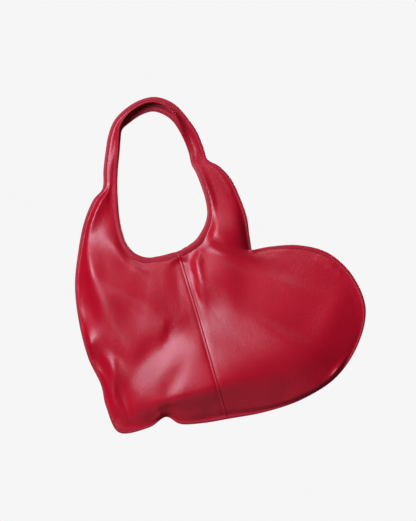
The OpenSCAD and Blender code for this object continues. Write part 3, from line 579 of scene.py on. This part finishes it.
def relief(side, v):
    """Swells, puckers, small creases and the seam's groove, in millimetres outwards."""
    plane = side.at(v)
    height = sum(swell_height(pixels(plane), *swell) for swell in side.swells.values())
    from_rim = v * side.length[:, None] - BINDING_T - RIM_W
    from_lip = (1 - v) * side.length[:, None] - BINDING_T - MOUTH_W
    inside = smooth(0, SWELL_FADE, from_rim) * smooth(0, SWELL_FADE, from_lip)
    puckers = rim_puckers(side, from_rim, from_lip)
    at = pixels(plane) * PIXEL
    creases = sum(high * rough(at, size, side.seed + seed) for high, size, seed in CREASES)
    calm = 1 - STRAP_CALM * side.strap[:, None]
    groove = seam_groove(side, plane)
    return (height * inside + puckers + creases * inside - groove * inside) * calm


def normals(grid):
    """Unit normals of a grid of points, towards the side that the rows and columns turn to."""
    down = np.gradient(grid, axis=0)
    over = np.gradient(grid, axis=1)
    n = np.cross(down, over)
    return n / np.maximum(np.linalg.norm(n, axis=-1, keepdims=True), 1e-12)


def mesh_object(name, points, faces):
    """A smooth shaded mesh object with its faces turned outwards."""
    mesh = bpy.data.meshes.new(name)
    mesh.from_pydata([tuple(p) for p in points], [], faces)
    work = bmesh.new()
    work.from_mesh(mesh)
    bmesh.ops.recalc_face_normals(work, faces=work.faces)
    work.to_mesh(mesh)
    work.free()
    mesh.shade_smooth()
    mesh.set_sharp_from_angle(angle=math.radians(SHARP_ANGLE))
    piece = bpy.data.objects.new(name, mesh)
    bpy.context.scene.collection.objects.link(piece)
    return piece


def sheet_object(name, outer, inner):
    """A closed sheet between two grids of points."""
    m, n = outer.shape[:2]
    points = np.concatenate([outer.reshape(-1, 3), inner.reshape(-1, 3)])
    half = m * n
    i, j = np.meshgrid(np.arange(m - 1), np.arange(n - 1), indexing="ij")
    a = (i * n + j).ravel()
    top = np.stack([a, a + 1, a + n + 1, a + n], 1)
    under = top[:, ::-1] + half
    rows, cols = np.arange(m - 1), np.arange(n - 1)
    walls = []
    for start, step, flip in ((rows * n, n, False), (rows * n + n - 1, n, True),
                              (cols, 1, True), ((m - 1) * n + cols, 1, False)):
        wall = np.stack([start, start + step, start + step + half, start + half], 1)
        walls.append(wall[:, ::-1] if flip else wall)
    faces = np.concatenate([top, under] + walls)
    return mesh_object(name, points, faces.tolist())


def strip_object(name, sections):
    """A run of closed cross sections, rows by section points, with a face at each end."""
    m, n = sections.shape[:2]
    points = sections.reshape(-1, 3)
    i, j = np.meshgrid(np.arange(m - 1), np.arange(n), indexing="ij")
    a = (i * n + j).ravel()
    b = (i * n + (j + 1) % n).ravel()
    faces = np.stack([a, b, b + n, a + n], 1).tolist()
    faces.append(list(range(n)))
    faces.append([(m - 1) * n + k for k in range(n)][::-1])
    return mesh_object(name, points, faces)


def bends(piece):
    """The piece crosses the strap's roots; bakes its placement into its mesh."""
    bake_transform(piece)


def finished(piece, material, slot, *nodes):
    """Gives the piece its material and hides the nodes that it stands for; slot is not used."""
    piece.data.materials.clear()
    piece.data.materials.append(material)
    if nodes:
        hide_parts(*nodes)
    return piece


# Materials, on object coordinates in metres. Each bump has a strength and a depth in metres.
CREASE_BUMP = (0.22, 0.0005)
PEBBLE_BUMP = (0.6, 0.00025)
SPECK_BUMP = (0.65, 0.0003)
WEAVE_BUMP = (0.5, 0.0002)
CROSS_BUMP = (0.35, 0.0002)
SLUB_BUMP = (0.3, 0.0003)
RUB_BUMP = (0.12, 0.00008)
NOISE = "ShaderNodeTexNoise"
NOISE_MIDDLE = (0.3, 0.7)
RUB_MIDDLE = (0.35, 0.65)
WORN_SHARE = 0.8
CLOTH_SPREAD = 0.1
CLOTH_SHEEN = 0.25
WAVE_SHARE = 6.3
SLUB_SHARE = 5


def new_material(name):
    """A material, its node tree, its shader and its object coordinates."""
    material = bpy.data.materials.new(name)
    material.use_nodes = True
    tree = material.node_tree
    shader = tree.nodes["Principled BSDF"]
    place = tree.nodes.new("ShaderNodeTexCoord").outputs["Object"]
    return material, tree, shader, place


def texture(tree, kind, coordinate, **settings):
    """A procedural texture on the piece's own coordinates."""
    node = tree.nodes.new(kind)
    for key, value in settings.items():
        node.inputs[key].default_value = value
    tree.links.new(coordinate, node.inputs["Vector"])
    return node


def ramp(tree, source, low, high, a, b):
    """Maps a value from low..high to a..b."""
    node = tree.nodes.new("ShaderNodeMapRange")
    for key, value in (("From Min", low), ("From Max", high), ("To Min", a), ("To Max", b)):
        node.inputs[key].default_value = value
    tree.links.new(source, node.inputs["Value"])
    return node.outputs["Result"]


def mixed(tree, factor, a, b):
    """A colour between a and b."""
    node = tree.nodes.new("ShaderNodeMix")
    node.data_type = "RGBA"
    node.inputs["A"].default_value = (*a, 1)
    node.inputs["B"].default_value = (*b, 1)
    tree.links.new(factor, node.inputs["Factor"])
    return node.outputs["Result"]


def coloured(tree, shader, factor, a, b):
    """Colours the shader between a and b."""
    tree.links.new(mixed(tree, factor, a, b), shader.inputs["Base Color"])


def roughened(tree, shader, source, low, high):
    """Gives the shader a roughness from low to high, which follows a noise."""
    tree.links.new(ramp(tree, source, *NOISE_MIDDLE, low, high), shader.inputs["Roughness"])


def bumped(tree, shader, layers):
    """Chains bumps of the given height sources."""
    last = None
    for source, (strength, depth) in layers:
        node = tree.nodes.new("ShaderNodeBump")
        node.inputs["Strength"].default_value = strength
        node.inputs["Distance"].default_value = depth
        tree.links.new(source, node.inputs["Height"])
        if last:
            tree.links.new(last, node.inputs["Normal"])
        last = node.outputs["Normal"]
    tree.links.new(last, shader.inputs["Normal"])


def cloth(name, light, dark, count, roughness):
    """Woven cloth: diagonal waves crossed by level ones, finer with a larger count, and slubs."""
    material, tree, shader, place = new_material(name)
    waves = []
    for axis in ("DIAGONAL", "Z"):
        wave = texture(tree, "ShaderNodeTexWave", place, Scale=count / WAVE_SHARE, Distortion=0.4)
        wave.bands_direction = axis
        waves.append(wave.outputs["Fac"])
    slub = texture(tree, NOISE, place, Scale=count / SLUB_SHARE, Detail=3).outputs["Fac"]
    coloured(tree, shader, ramp(tree, waves[0], 0, 1, 0, 1), dark, light)
    roughened(tree, shader, slub, roughness - CLOTH_SPREAD, roughness + CLOTH_SPREAD)
    bumped(tree, shader, [(waves[0], WEAVE_BUMP), (waves[1], CROSS_BUMP), (slub, SLUB_BUMP)])
    shader.inputs["Sheen Weight"].default_value = CLOTH_SHEEN
    return material


def metal(name, colour, roughness, metallic):
    """Plated or bare metal with fine rub marks."""
    material, tree, shader, place = new_material(name)
    rub = texture(tree, NOISE, place, Scale=900, Detail=4, Distortion=2.0).outputs["Fac"]
    worn = tuple(WORN_SHARE * c for c in colour)
    coloured(tree, shader, ramp(tree, rub, *RUB_MIDDLE, 0, 1), worn, colour)
    roughened(tree, shader, rub, *roughness)
    bumped(tree, shader, [(rub, RUB_BUMP)])
    shader.inputs["Metallic"].default_value = metallic
    return material


def leather(name, light, dark, roughness, shine):
    """Fine grained coated leather: creases, pebbles, specks and a faintly uneven tone."""
    material, tree, shader, place = new_material(name)
    cloud = texture(tree, NOISE, place, Scale=14, Detail=3).outputs["Fac"]
    pebble = texture(tree, "ShaderNodeTexVoronoi", place, Scale=950).outputs["Distance"]
    speck = texture(tree, NOISE, place, Scale=620, Detail=4, Roughness=0.65).outputs["Fac"]
    crease = texture(tree, NOISE, place, Scale=150, Detail=5, Distortion=1.2).outputs["Fac"]
    coloured(tree, shader, ramp(tree, cloud, *NOISE_MIDDLE, 0, 1), dark, light)
    roughened(tree, shader, speck, *roughness)
    bumped(tree, shader, [(crease, CREASE_BUMP), (pebble, PEBBLE_BUMP), (speck, SPECK_BUMP)])
    shader.inputs["Specular IOR Level"].default_value = shine
    return material


red_leather = leather("red_leather", light=(0.48, 0.0002, 0.016), dark=(0.41, 0.0001, 0.013),
                      roughness=(0.31, 0.41), shine=0.6)
band_leather = leather("band_leather", light=(0.42, 0.001, 0.017), dark=(0.36, 0.0005, 0.013),
                       roughness=(0.42, 0.54), shine=0.32)
thread = cloth("thread", light=(0.60, 0.06, 0.09), dark=(0.42, 0.012, 0.03),
               count=9000, roughness=0.6)
lining_cloth = cloth("lining_cloth", light=(0.10, 0.004, 0.014), dark=(0.05, 0.002, 0.008),
                     count=2200, roughness=0.75)
woven_tape = cloth("woven_tape", light=(0.24, 0.004, 0.014), dark=(0.13, 0.002, 0.008),
                   count=1400, roughness=0.75)
nickel = metal("nickel", colour=(0.56, 0.55, 0.52), roughness=(0.16, 0.3), metallic=1.0)
magnet_grey = metal("magnet_grey", colour=(0.04, 0.04, 0.045), roughness=(0.45, 0.6), metallic=0.6)

pale_floor, floor_tree, floor_shader, floor_place = new_material("pale_floor")
floor_grain = texture(floor_tree, NOISE, floor_place, Scale=60, Detail=4).outputs["Fac"]
coloured(floor_tree, floor_shader, floor_grain, (0.80, 0.80, 0.80), (0.84, 0.84, 0.84))
floor_shader.inputs["Roughness"].default_value = 0.8

# The two sides. The front faces -Y, and its layer of the strap is turned out.
front = Side("front", -1, FRONT_LAYER, True, FRONT_SWELLS, FRONT_SEED)
back = Side("back", 1, BACK_LAYER, False, BACK_SWELLS, BACK_SEED)


def shell_surface(side, v, lift=0.0, swollen=False):
    """Grid of points on a side's leather, lifted along its normal, and those normals."""
    height = side.crown(v)
    if swollen:
        least = LEAST_RISE * height
        over = height + relief(side, v) - least
        height = least + FLAT_RISE * np.logaddexp(0, over / FLAT_RISE)
    grid = placed(side.at(v), side.sign * (height + PLY_HALF))
    n = normals(grid)
    n *= side.sign * np.sign(n[..., 1].sum())
    return grid + n * lift * MM, n


# Leather of each side, in a left and a right piece that meet at the seam and the strap's crest
def leather_side(side, *left_nodes):
    """The leather of one side, and further nodes that its left piece stands for."""
    grid, n = shell_surface(side, side.columns(), swollen=True)
    inner = grid - n * LEATHER_T * MM
    inner[..., 1] = side.sign * np.maximum(side.sign * inner[..., 1], LINING_T * MM)
    for half, first, last, nodes in (("left", 0, side.apex + 1, left_nodes),
                                     ("right", side.apex, None, ())):
        piece = sheet_object(f"{side.name}_leather_{half}", grid[first:last], inner[first:last])
        finished(piece, red_leather, "red_leather",
                 f"{side.name}_{half}_panel", f"strap_{side.name}_layer", *nodes)
        bends(piece)
    return grid, n


front_surface = leather_side(front, "root_folds")
back_surface = leather_side(back)


# Bindings: strips folded round the rim and round the edge of the mouth
def rim_binding():
    """Binding round the whole rim of the heart and the strap."""
    outer = RIM_SECTION + [(d, -h) for d, h in RIM_SECTION[::-1]]
    inner = [(RIM_REACH, -RIM_LOW), (BINDING_T, -RIM_LOW), (BINDING_T, RIM_LOW), (RIM_REACH, RIM_LOW)]
    depth, height = np.array(outer + inner).T
    v = depth[None, :] / front.length[:, None]
    y = np.broadcast_to(-height, v.shape)
    piece = strip_object("rim_binding", placed(front.at(v), y))
    finished(piece, band_leather, "red_leather", "edge_binding", "strap_edge_binding")
    bends(piece)


rim_binding()


def mouth_hem(side):
    """The edge of the mouth and of the strap's layer, turned over and stitched down."""
    depth, height = np.array(HEM_SECTION).T
    v = 1 - depth[None, :] / side.length[:, None]
    base, n = shell_surface(side, v)
    mean = n.mean(axis=1, keepdims=True)
    mean /= np.linalg.norm(mean, axis=-1, keepdims=True)
    lift = height[None, :, None] * MM
    piece = strip_object(f"{side.name}_mouth_hem", base + mean * lift)
    finished(piece, band_leather, "red_leather", f"{side.name}_mouth_binding")
    bends(piece)


mouth_hem(front)
mouth_hem(back)


def seam_welt(side, surface):
    """Narrow raised welt over the seam between the two halves of a side, and its stitch line."""
    grid, n = surface
    ridge, up = grid[0, ::-1], n[0, ::-1]
    left, right = grid[1, ::-1] - ridge, grid[-2, ::-1] - ridge
    aside = right - left
    aside /= np.linalg.norm(aside, axis=1, keepdims=True)
    inside = slice(1, -2)
    rows = np.stack([ridge + (aside * a + up * h) * MM for a, h in WELT_SECTION], 1)[inside]
    piece = strip_object(f"{side.name}_welt", rows)
    finished(piece, red_leather, "red_leather", f"{side.name}_seam_welt")
    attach(piece, "bag")
    line = (ridge + up * WELT_STITCH_RISE * MM)[inside]
    return line, up[inside]


front_seam_line = seam_welt(front, front_surface)
back_seam_line = seam_welt(back, back_surface)


# Stitches: short threads of real size, laid at one pitch along a line
def along_line(at, run, rows):
    """Points or directions at distances along a line, between those of its rows."""
    return np.stack([np.interp(at, run, rows[:, i]) for i in range(3)], 1)


def stitch_row(points, up):
    """Points and faces of one row of stitches along a line on a surface."""
    run = np.r_[0, np.cumsum(np.linalg.norm(np.diff(points, axis=0), axis=1))]
    count = max(2, int(run[-1] / (STITCH_PITCH * MM)))
    at = (np.arange(count) + 0.5) * run[-1] / count
    place = along_line(at, run, points)
    lift = along_line(at, run, up)
    ahead = along_line(at + LOOK_AHEAD * MM, run, points) - place
    ahead[-1] = ahead[-2]
    ahead /= np.linalg.norm(ahead, axis=1, keepdims=True)
    aside = np.cross(ahead, lift)
    aside /= np.linalg.norm(aside, axis=1, keepdims=True)
    sides = STITCH_SIDES
    angles = np.arange(sides) * 2 * math.pi / sides
    shape = [(-0.5, 0, -STITCH_SINK)]
    shape += [(s, math.cos(a), math.sin(a)) for s in (-STITCH_FULL, STITCH_FULL) for a in angles]
    shape += [(0.5, 0, -STITCH_SINK)]
    size = np.array([STITCH_L, STITCH_R, STITCH_R]) * MM
    axes = np.stack([ahead, aside, lift], 1)
    threads = (np.array(shape) * size) @ axes + place[:, None, :]
    near = [1 + k for k in range(sides)]
    far = [k + sides for k in near]
    last = len(shape) - 1
    one = [(0, near[(k + 1) % sides], near[k]) for k in range(sides)]
    one += [(near[k], near[(k + 1) % sides], far[(k + 1) % sides], far[k]) for k in range(sides)]
    one += [(last, far[k], far[(k + 1) % sides]) for k in range(sides)]
    faces = [tuple(i + base for i in face)
             for base in range(0, count * len(shape), len(shape)) for face in one]
    return threads.reshape(-1, 3), faces


def stitching(name, lines, bending=True):
    """Rows of stitches as one piece."""
    points, faces, base = [], [], 0
    for line, up in lines:
        row_points, row_faces = stitch_row(line, up)
        points.append(row_points)
        faces += [tuple(i + base for i in face) for face in row_faces]
        base += len(row_points)
    piece = mesh_object(name, np.concatenate(points), faces)
    finished(piece, thread, "red_leather")
    if bending:
        bends(piece)
    else:
        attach(piece, "bag")


def rim_line(sign):
    """Line of the rim's stitches, on the face of its binding."""
    inset = BINDING_T + RIM_STITCH_SHARE * RIM_W
    plane = front.at(inset / front.length[:, None])[:, 0]
    high = RIM_HIGH + RIM_STITCH_RISE
    line = placed(plane, np.full(len(plane), sign * high))
    return line, np.tile([0.0, sign, 0.0], (len(line), 1))


def hem_line(side):
    """Line of the mouth's stitches, on the face of its hem, between a column on each side of it."""
    insets = np.array([HEM_STITCH_IN + HEM_BESIDE, HEM_STITCH_IN, HEM_STITCH_IN - HEM_BESIDE])
    v = 1 - insets[None, :] / side.length[:, None]
    base, n = shell_surface(side, v, HEM_STITCH_RISE)
    return base[:, 1], n[:, 1]


stitching("rim_stitches", [rim_line(-1), rim_line(1)])
stitching("front_hem_stitches", [hem_line(front)])
stitching("back_hem_stitches", [hem_line(back)])
stitching("seam_stitches", [front_seam_line, back_seam_line], bending=False)


# Lining, and the facing of leather between it and the edge of the mouth
def inner_height(side, v):
    """Height of the lining over the middle plane. The back one hangs straight down."""
    dip = np.minimum(relief(side, v), 0)
    height = np.maximum(0, side.crown(v) + dip - LINING_EASE)
    return np.minimum(height, LINING_PLANE) if side.sign > 0 else height


def lining_piece(side, name, low, high, count, material, slot, node):
    """One ply of the inside, as a closed sheet of count columns between two named lines."""
    bag = side.bag()
    start, stop = bag.wall()
    end = BINDING_T / bag.length[:, None]
    lines = {"rim": end, "split": start + FACING_SHARE * (stop - start), "mouth": 1 - end}
    v = lines[low] + (lines[high] - lines[low]) * np.linspace(0, 1, count)[None, :]
    height = inner_height(bag, v)
    plane = bag.at(v)
    outer = placed(plane, bag.sign * (height + LINING_T))
    inner = placed(plane, bag.sign * height)
    piece = sheet_object(name, outer, inner)
    return finished(piece, material, slot, node)


def cut_window(piece, low, high):
    """Cuts a box out of a piece."""
    bpy.ops.mesh.primitive_cube_add(size=1, location=tuple((high + low) / 2))
    cutter = bpy.context.object
    cutter.scale = tuple(high - low)
    cut = piece.modifiers.new("window", "BOOLEAN")
    cut.operation = "DIFFERENCE"
    cut.object = cutter
    cut.solver = "EXACT"
    bpy.context.view_layer.objects.active = piece
    bpy.ops.object.modifier_apply(modifier=cut.name)
    bpy.data.objects.remove(cutter)


frame_low, frame_high = box_of("pocket_frame")
window_low = frame_low + np.array([FRAME_W, -WINDOW_REACH, FRAME_W]) * MM
window_high = frame_high + np.array([-FRAME_W, WINDOW_REACH, -FRAME_W]) * MM

linings = [
    lining_piece(side, f"{side.name}_lining_cloth", "rim", "split", LINING_COLUMNS,
                 lining_cloth, "lining_cloth", f"{side.name}_lining")
    for side in (front, back)
]
facings = [
    lining_piece(side, f"{side.name}_facing_leather", "split", "mouth", FACING_COLUMNS,
                 red_leather, "red_leather", f"{side.name}_facing")
    for side in (front, back)
]
cut_window(linings[1], window_low, window_high)
for piece in linings + facings:
    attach(piece, "bag")


# Inner pocket: leather frame round the zip, two tapes and a cloth pouch behind the lining
def pocket_frame_piece():
    """Rounded leather frame, mitred at its corners."""
    near, far = frame_low[1], frame_high[1]
    half = [(0.0, far)] + [(d, near + behind * MM) for d, behind in FRAME_EDGE]
    section = half + [(FRAME_W - d, y) for d, y in half[::-1]]
    corners = [(0, 0), (1, 0), (1, 1), (0, 1), (0, 0)]
    rows = []
    for i, k in corners:
        sx, sz = 1 - 2 * i, 1 - 2 * k
        x = (frame_low[0], frame_high[0])[i]
        z = (frame_low[2], frame_high[2])[k]
        rows.append([(x + sx * d * MM, y, z + sz * d * MM) for d, y in section])
    sides = [np.linspace(a, b, FRAME_ROWS + 1)[:-1] for a, b in zip(rows[:-1], rows[1:])]
    ring = np.concatenate(sides + [np.array(rows[:1])])
    piece = strip_object("pocket_frame_leather", ring)
    finished(piece, red_leather, "red_leather", "pocket_frame")
    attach(piece, "bag")


def pocket_stitches():
    """Stitches round the middle of the pocket's frame."""
    inset = FRAME_W / 2 * MM
    near = frame_low[1]
    left, right = frame_low[0] + inset, frame_high[0] - inset
    low, high = frame_low[2] + inset, frame_high[2] - inset
    corners = [(left, near, low), (right, near, low), (right, near, high), (left, near, high)]
    up = np.tile([0.0, -1.0, 0.0], (FRAME_STITCH_ROWS, 1))
    lines = [(np.linspace(a, b, FRAME_STITCH_ROWS), up)
             for a, b in zip(corners, corners[1:] + corners[:1])]
    stitching("pocket_stitches", lines, bending=False)


def flat_grid(x_ends, z_ends, y):
    """Grid of points in an upright plane."""
    x, z = np.meshgrid(np.linspace(*x_ends, TAPE_GRID[0]), np.linspace(*z_ends, TAPE_GRID[1]),
                       indexing="ij")
    return np.stack([x, np.full_like(x, y), z], -1)


def zip_tape_pieces():
    """The two woven tapes of the zip."""
    low, high = box_of("zip_tapes")
    middle = (low[2] + high[2]) / 2
    half_gap = ZIP_HALF_GAP * MM
    for name, z_ends in (("zip_tape_upper", (middle + half_gap, high[2])),
                         ("zip_tape_lower", (low[2], middle - half_gap))):
        near, far = (flat_grid((low[0], high[0]), z_ends, y) for y in (low[1], high[1]))
        piece = sheet_object(name, near, far)
        finished(piece, woven_tape, "woven_tape", "zip_tapes")
        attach(piece, "bag")


def pouch_piece():
    """Cloth pouch of two sides sewn round their edge: a flat one, and a slack one behind it."""
    low, high = box_of("pocket_bag")
    turns = np.linspace(0, 2 * math.pi, POUCH_POINTS)
    rings = np.linspace(POUCH_FIRST, 1, POUCH_RINGS)
    half = (high - low) / 2
    centre = (high + low) / 2
    cos, sin = np.cos(turns), np.sin(turns)
    reach = (np.abs(cos) ** POUCH_CORNER + np.abs(sin) ** POUCH_CORNER) ** (-1 / POUCH_CORNER)
    x = centre[0] + half[0] * np.outer(rings, cos * reach)
    z = centre[2] + half[2] * np.outer(rings, sin * reach)
    wave = 1 + POUCH_WAVE_SHARE * np.sin(POUCH_WAVES * turns + 1.0)
    slack = (1 - rings[:, None] ** 4) * wave
    t = POUCH_T * MM
    deep = high[1] - low[1] - 2.5 * t
    far = np.stack([x, low[1] + t + deep * np.clip(slack, 0, 1), z], -1)
    near = np.stack([x, np.full_like(x, low[1] + t / 2), z], -1)
    back_sheet = sheet_object("pouch_back", far + np.array([0, t, 0]), far)
    front_sheet = sheet_object("pouch_front", near, near - np.array([0, t / 2, 0]))
    cut_window(front_sheet, window_low, window_high)
    for piece in (back_sheet, front_sheet):
        finished(piece, lining_cloth, "lining_cloth", "pocket_bag")
        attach(piece, "bag")


pocket_frame_piece()
pocket_stitches()
zip_tape_pieces()
pouch_piece()


def core_tape():
    """Woven tape sewn in under the strap's crest."""
    strap_rows = back.rows(np.flatnonzero(back.strap > CORE_SHARE))
    inset = np.linspace(BINDING_T + PLY_GAP, CORE_REACH, CORE_COLUMNS)
    v = inset[None, :] / strap_rows.length[:, None]
    plane = strap_rows.at(v)
    half = np.full(v.shape, CORE_HALF)
    piece = sheet_object("strap_tape", placed(plane, -half), placed(plane, half))
    finished(piece, woven_tape, "woven_tape", "strap_core_tape")
    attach(piece, "strap")


core_tape()

# Metal parts keep their solids
metal_parts = dict.fromkeys(
    ("snap_socket", "snap_stud", "socket_washer", "stud_washer", "zip_teeth", "zip_stops",
     "zip_slider", "zip_pull"), nickel)
metal_parts["snap_magnet"] = magnet_grey
for node, material in metal_parts.items():
    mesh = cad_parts[node].data
    mesh.materials.clear()
    mesh.materials.append(material)

# Camera at the photograph's angle, with a long lens
centre_x = (PHOTO_W / 2 - PIXEL_X) * PIXEL * MM
centre_z = (PIXEL_Z - PHOTO_H / 2) * PIXEL * MM
camera_data = bpy.data.cameras.new("camera")
camera_data.sensor_fit = "HORIZONTAL"
camera_data.lens = camera_data.sensor_width * CAMERA_FAR / (PHOTO_W * PIXEL * MM)
camera = bpy.data.objects.new("camera", camera_data)
camera.location = (centre_x, -CAMERA_FAR, centre_z)
camera.rotation_euler = (math.pi / 2, 0, 0)
bpy.context.scene.collection.objects.link(camera)
bpy.context.scene.camera = camera


# Light: a large key from the upper left, a soft top light and a weak back light
def softbox(name, place, size, power, colour):
    """A rectangular lamp aimed at the middle of the purse, its place and size in metres."""
    lamp = bpy.data.lights.new(name, "AREA")
    lamp.shape = "RECTANGLE"
    lamp.size, lamp.size_y = size
    lamp.energy = power
    lamp.color = colour
    holder = bpy.data.objects.new(name, lamp)
    holder.location = place
    aim = Vector((centre_x, 0, centre_z)) - Vector(place)
    holder.rotation_euler = aim.to_track_quat("-Z", "Y").to_euler()
    bpy.context.scene.collection.objects.link(holder)


softbox("key", place=(-3.06, -4.1, 1.32), size=(2.75, 2.75), power=385, colour=(0.79, 0.83, 1.0))
softbox("top", place=(0.53, -1.4, 2.59), size=(1.8, 1.0), power=28, colour=(0.90, 0.88, 1.0))
softbox("back", place=(0.9, 1.7, 0.5), size=(0.7, 0.7), power=30, colour=(0.95, 0.97, 1.0))

# Plain pale floor under the hanging purse, below what the camera sees and not mirrored in it
floor_half = FLOOR_SIZE / 2
floor_corners = [(x * floor_half, y * floor_half, 0)
                 for x, y in ((-1, -1), (1, -1), (1, 1), (-1, 1))]
floor_mesh = bpy.data.meshes.new("floor")
floor_mesh.from_pydata(floor_corners, [], [(0, 1, 2, 3)])
floor = bpy.data.objects.new("floor", floor_mesh)
floor.location = (centre_x, 0, FLOOR_Z)
bpy.context.scene.collection.objects.link(floor)
floor_mesh.materials.append(pale_floor)
floor.visible_glossy = False

# Surrounding: full strength for the camera, AMBIENT as a light, and dark in glossy reflections,
# as the photograph's leather mirrors a dark room
world = bpy.data.worlds.new("world")
world.use_nodes = True
tree = world.node_tree
light_path = tree.nodes.new("ShaderNodeLightPath")
seen_rays = tree.nodes.new("ShaderNodeMath")
seen_rays.operation = "MAXIMUM"
tree.links.new(light_path.outputs["Is Camera Ray"], seen_rays.inputs[0])
tree.links.new(light_path.outputs["Is Transmission Ray"], seen_rays.inputs[1])
background = tree.nodes["Background"]
background.inputs["Color"].default_value = SURROUNDING
seen = ramp(tree, seen_rays.outputs[0], 0, 1, AMBIENT, 1.0)
glossy = tree.nodes.new("ShaderNodeMath")
glossy.operation = "MULTIPLY_ADD"
glossy.inputs[1].default_value = REFLECTED - AMBIENT
tree.links.new(light_path.outputs["Is Glossy Ray"], glossy.inputs[0])
tree.links.new(seen, glossy.inputs[2])
tree.links.new(glossy.outputs[0], background.inputs["Strength"])
bpy.context.scene.world = world
bpy.context.scene.view_settings.view_transform = "Standard"
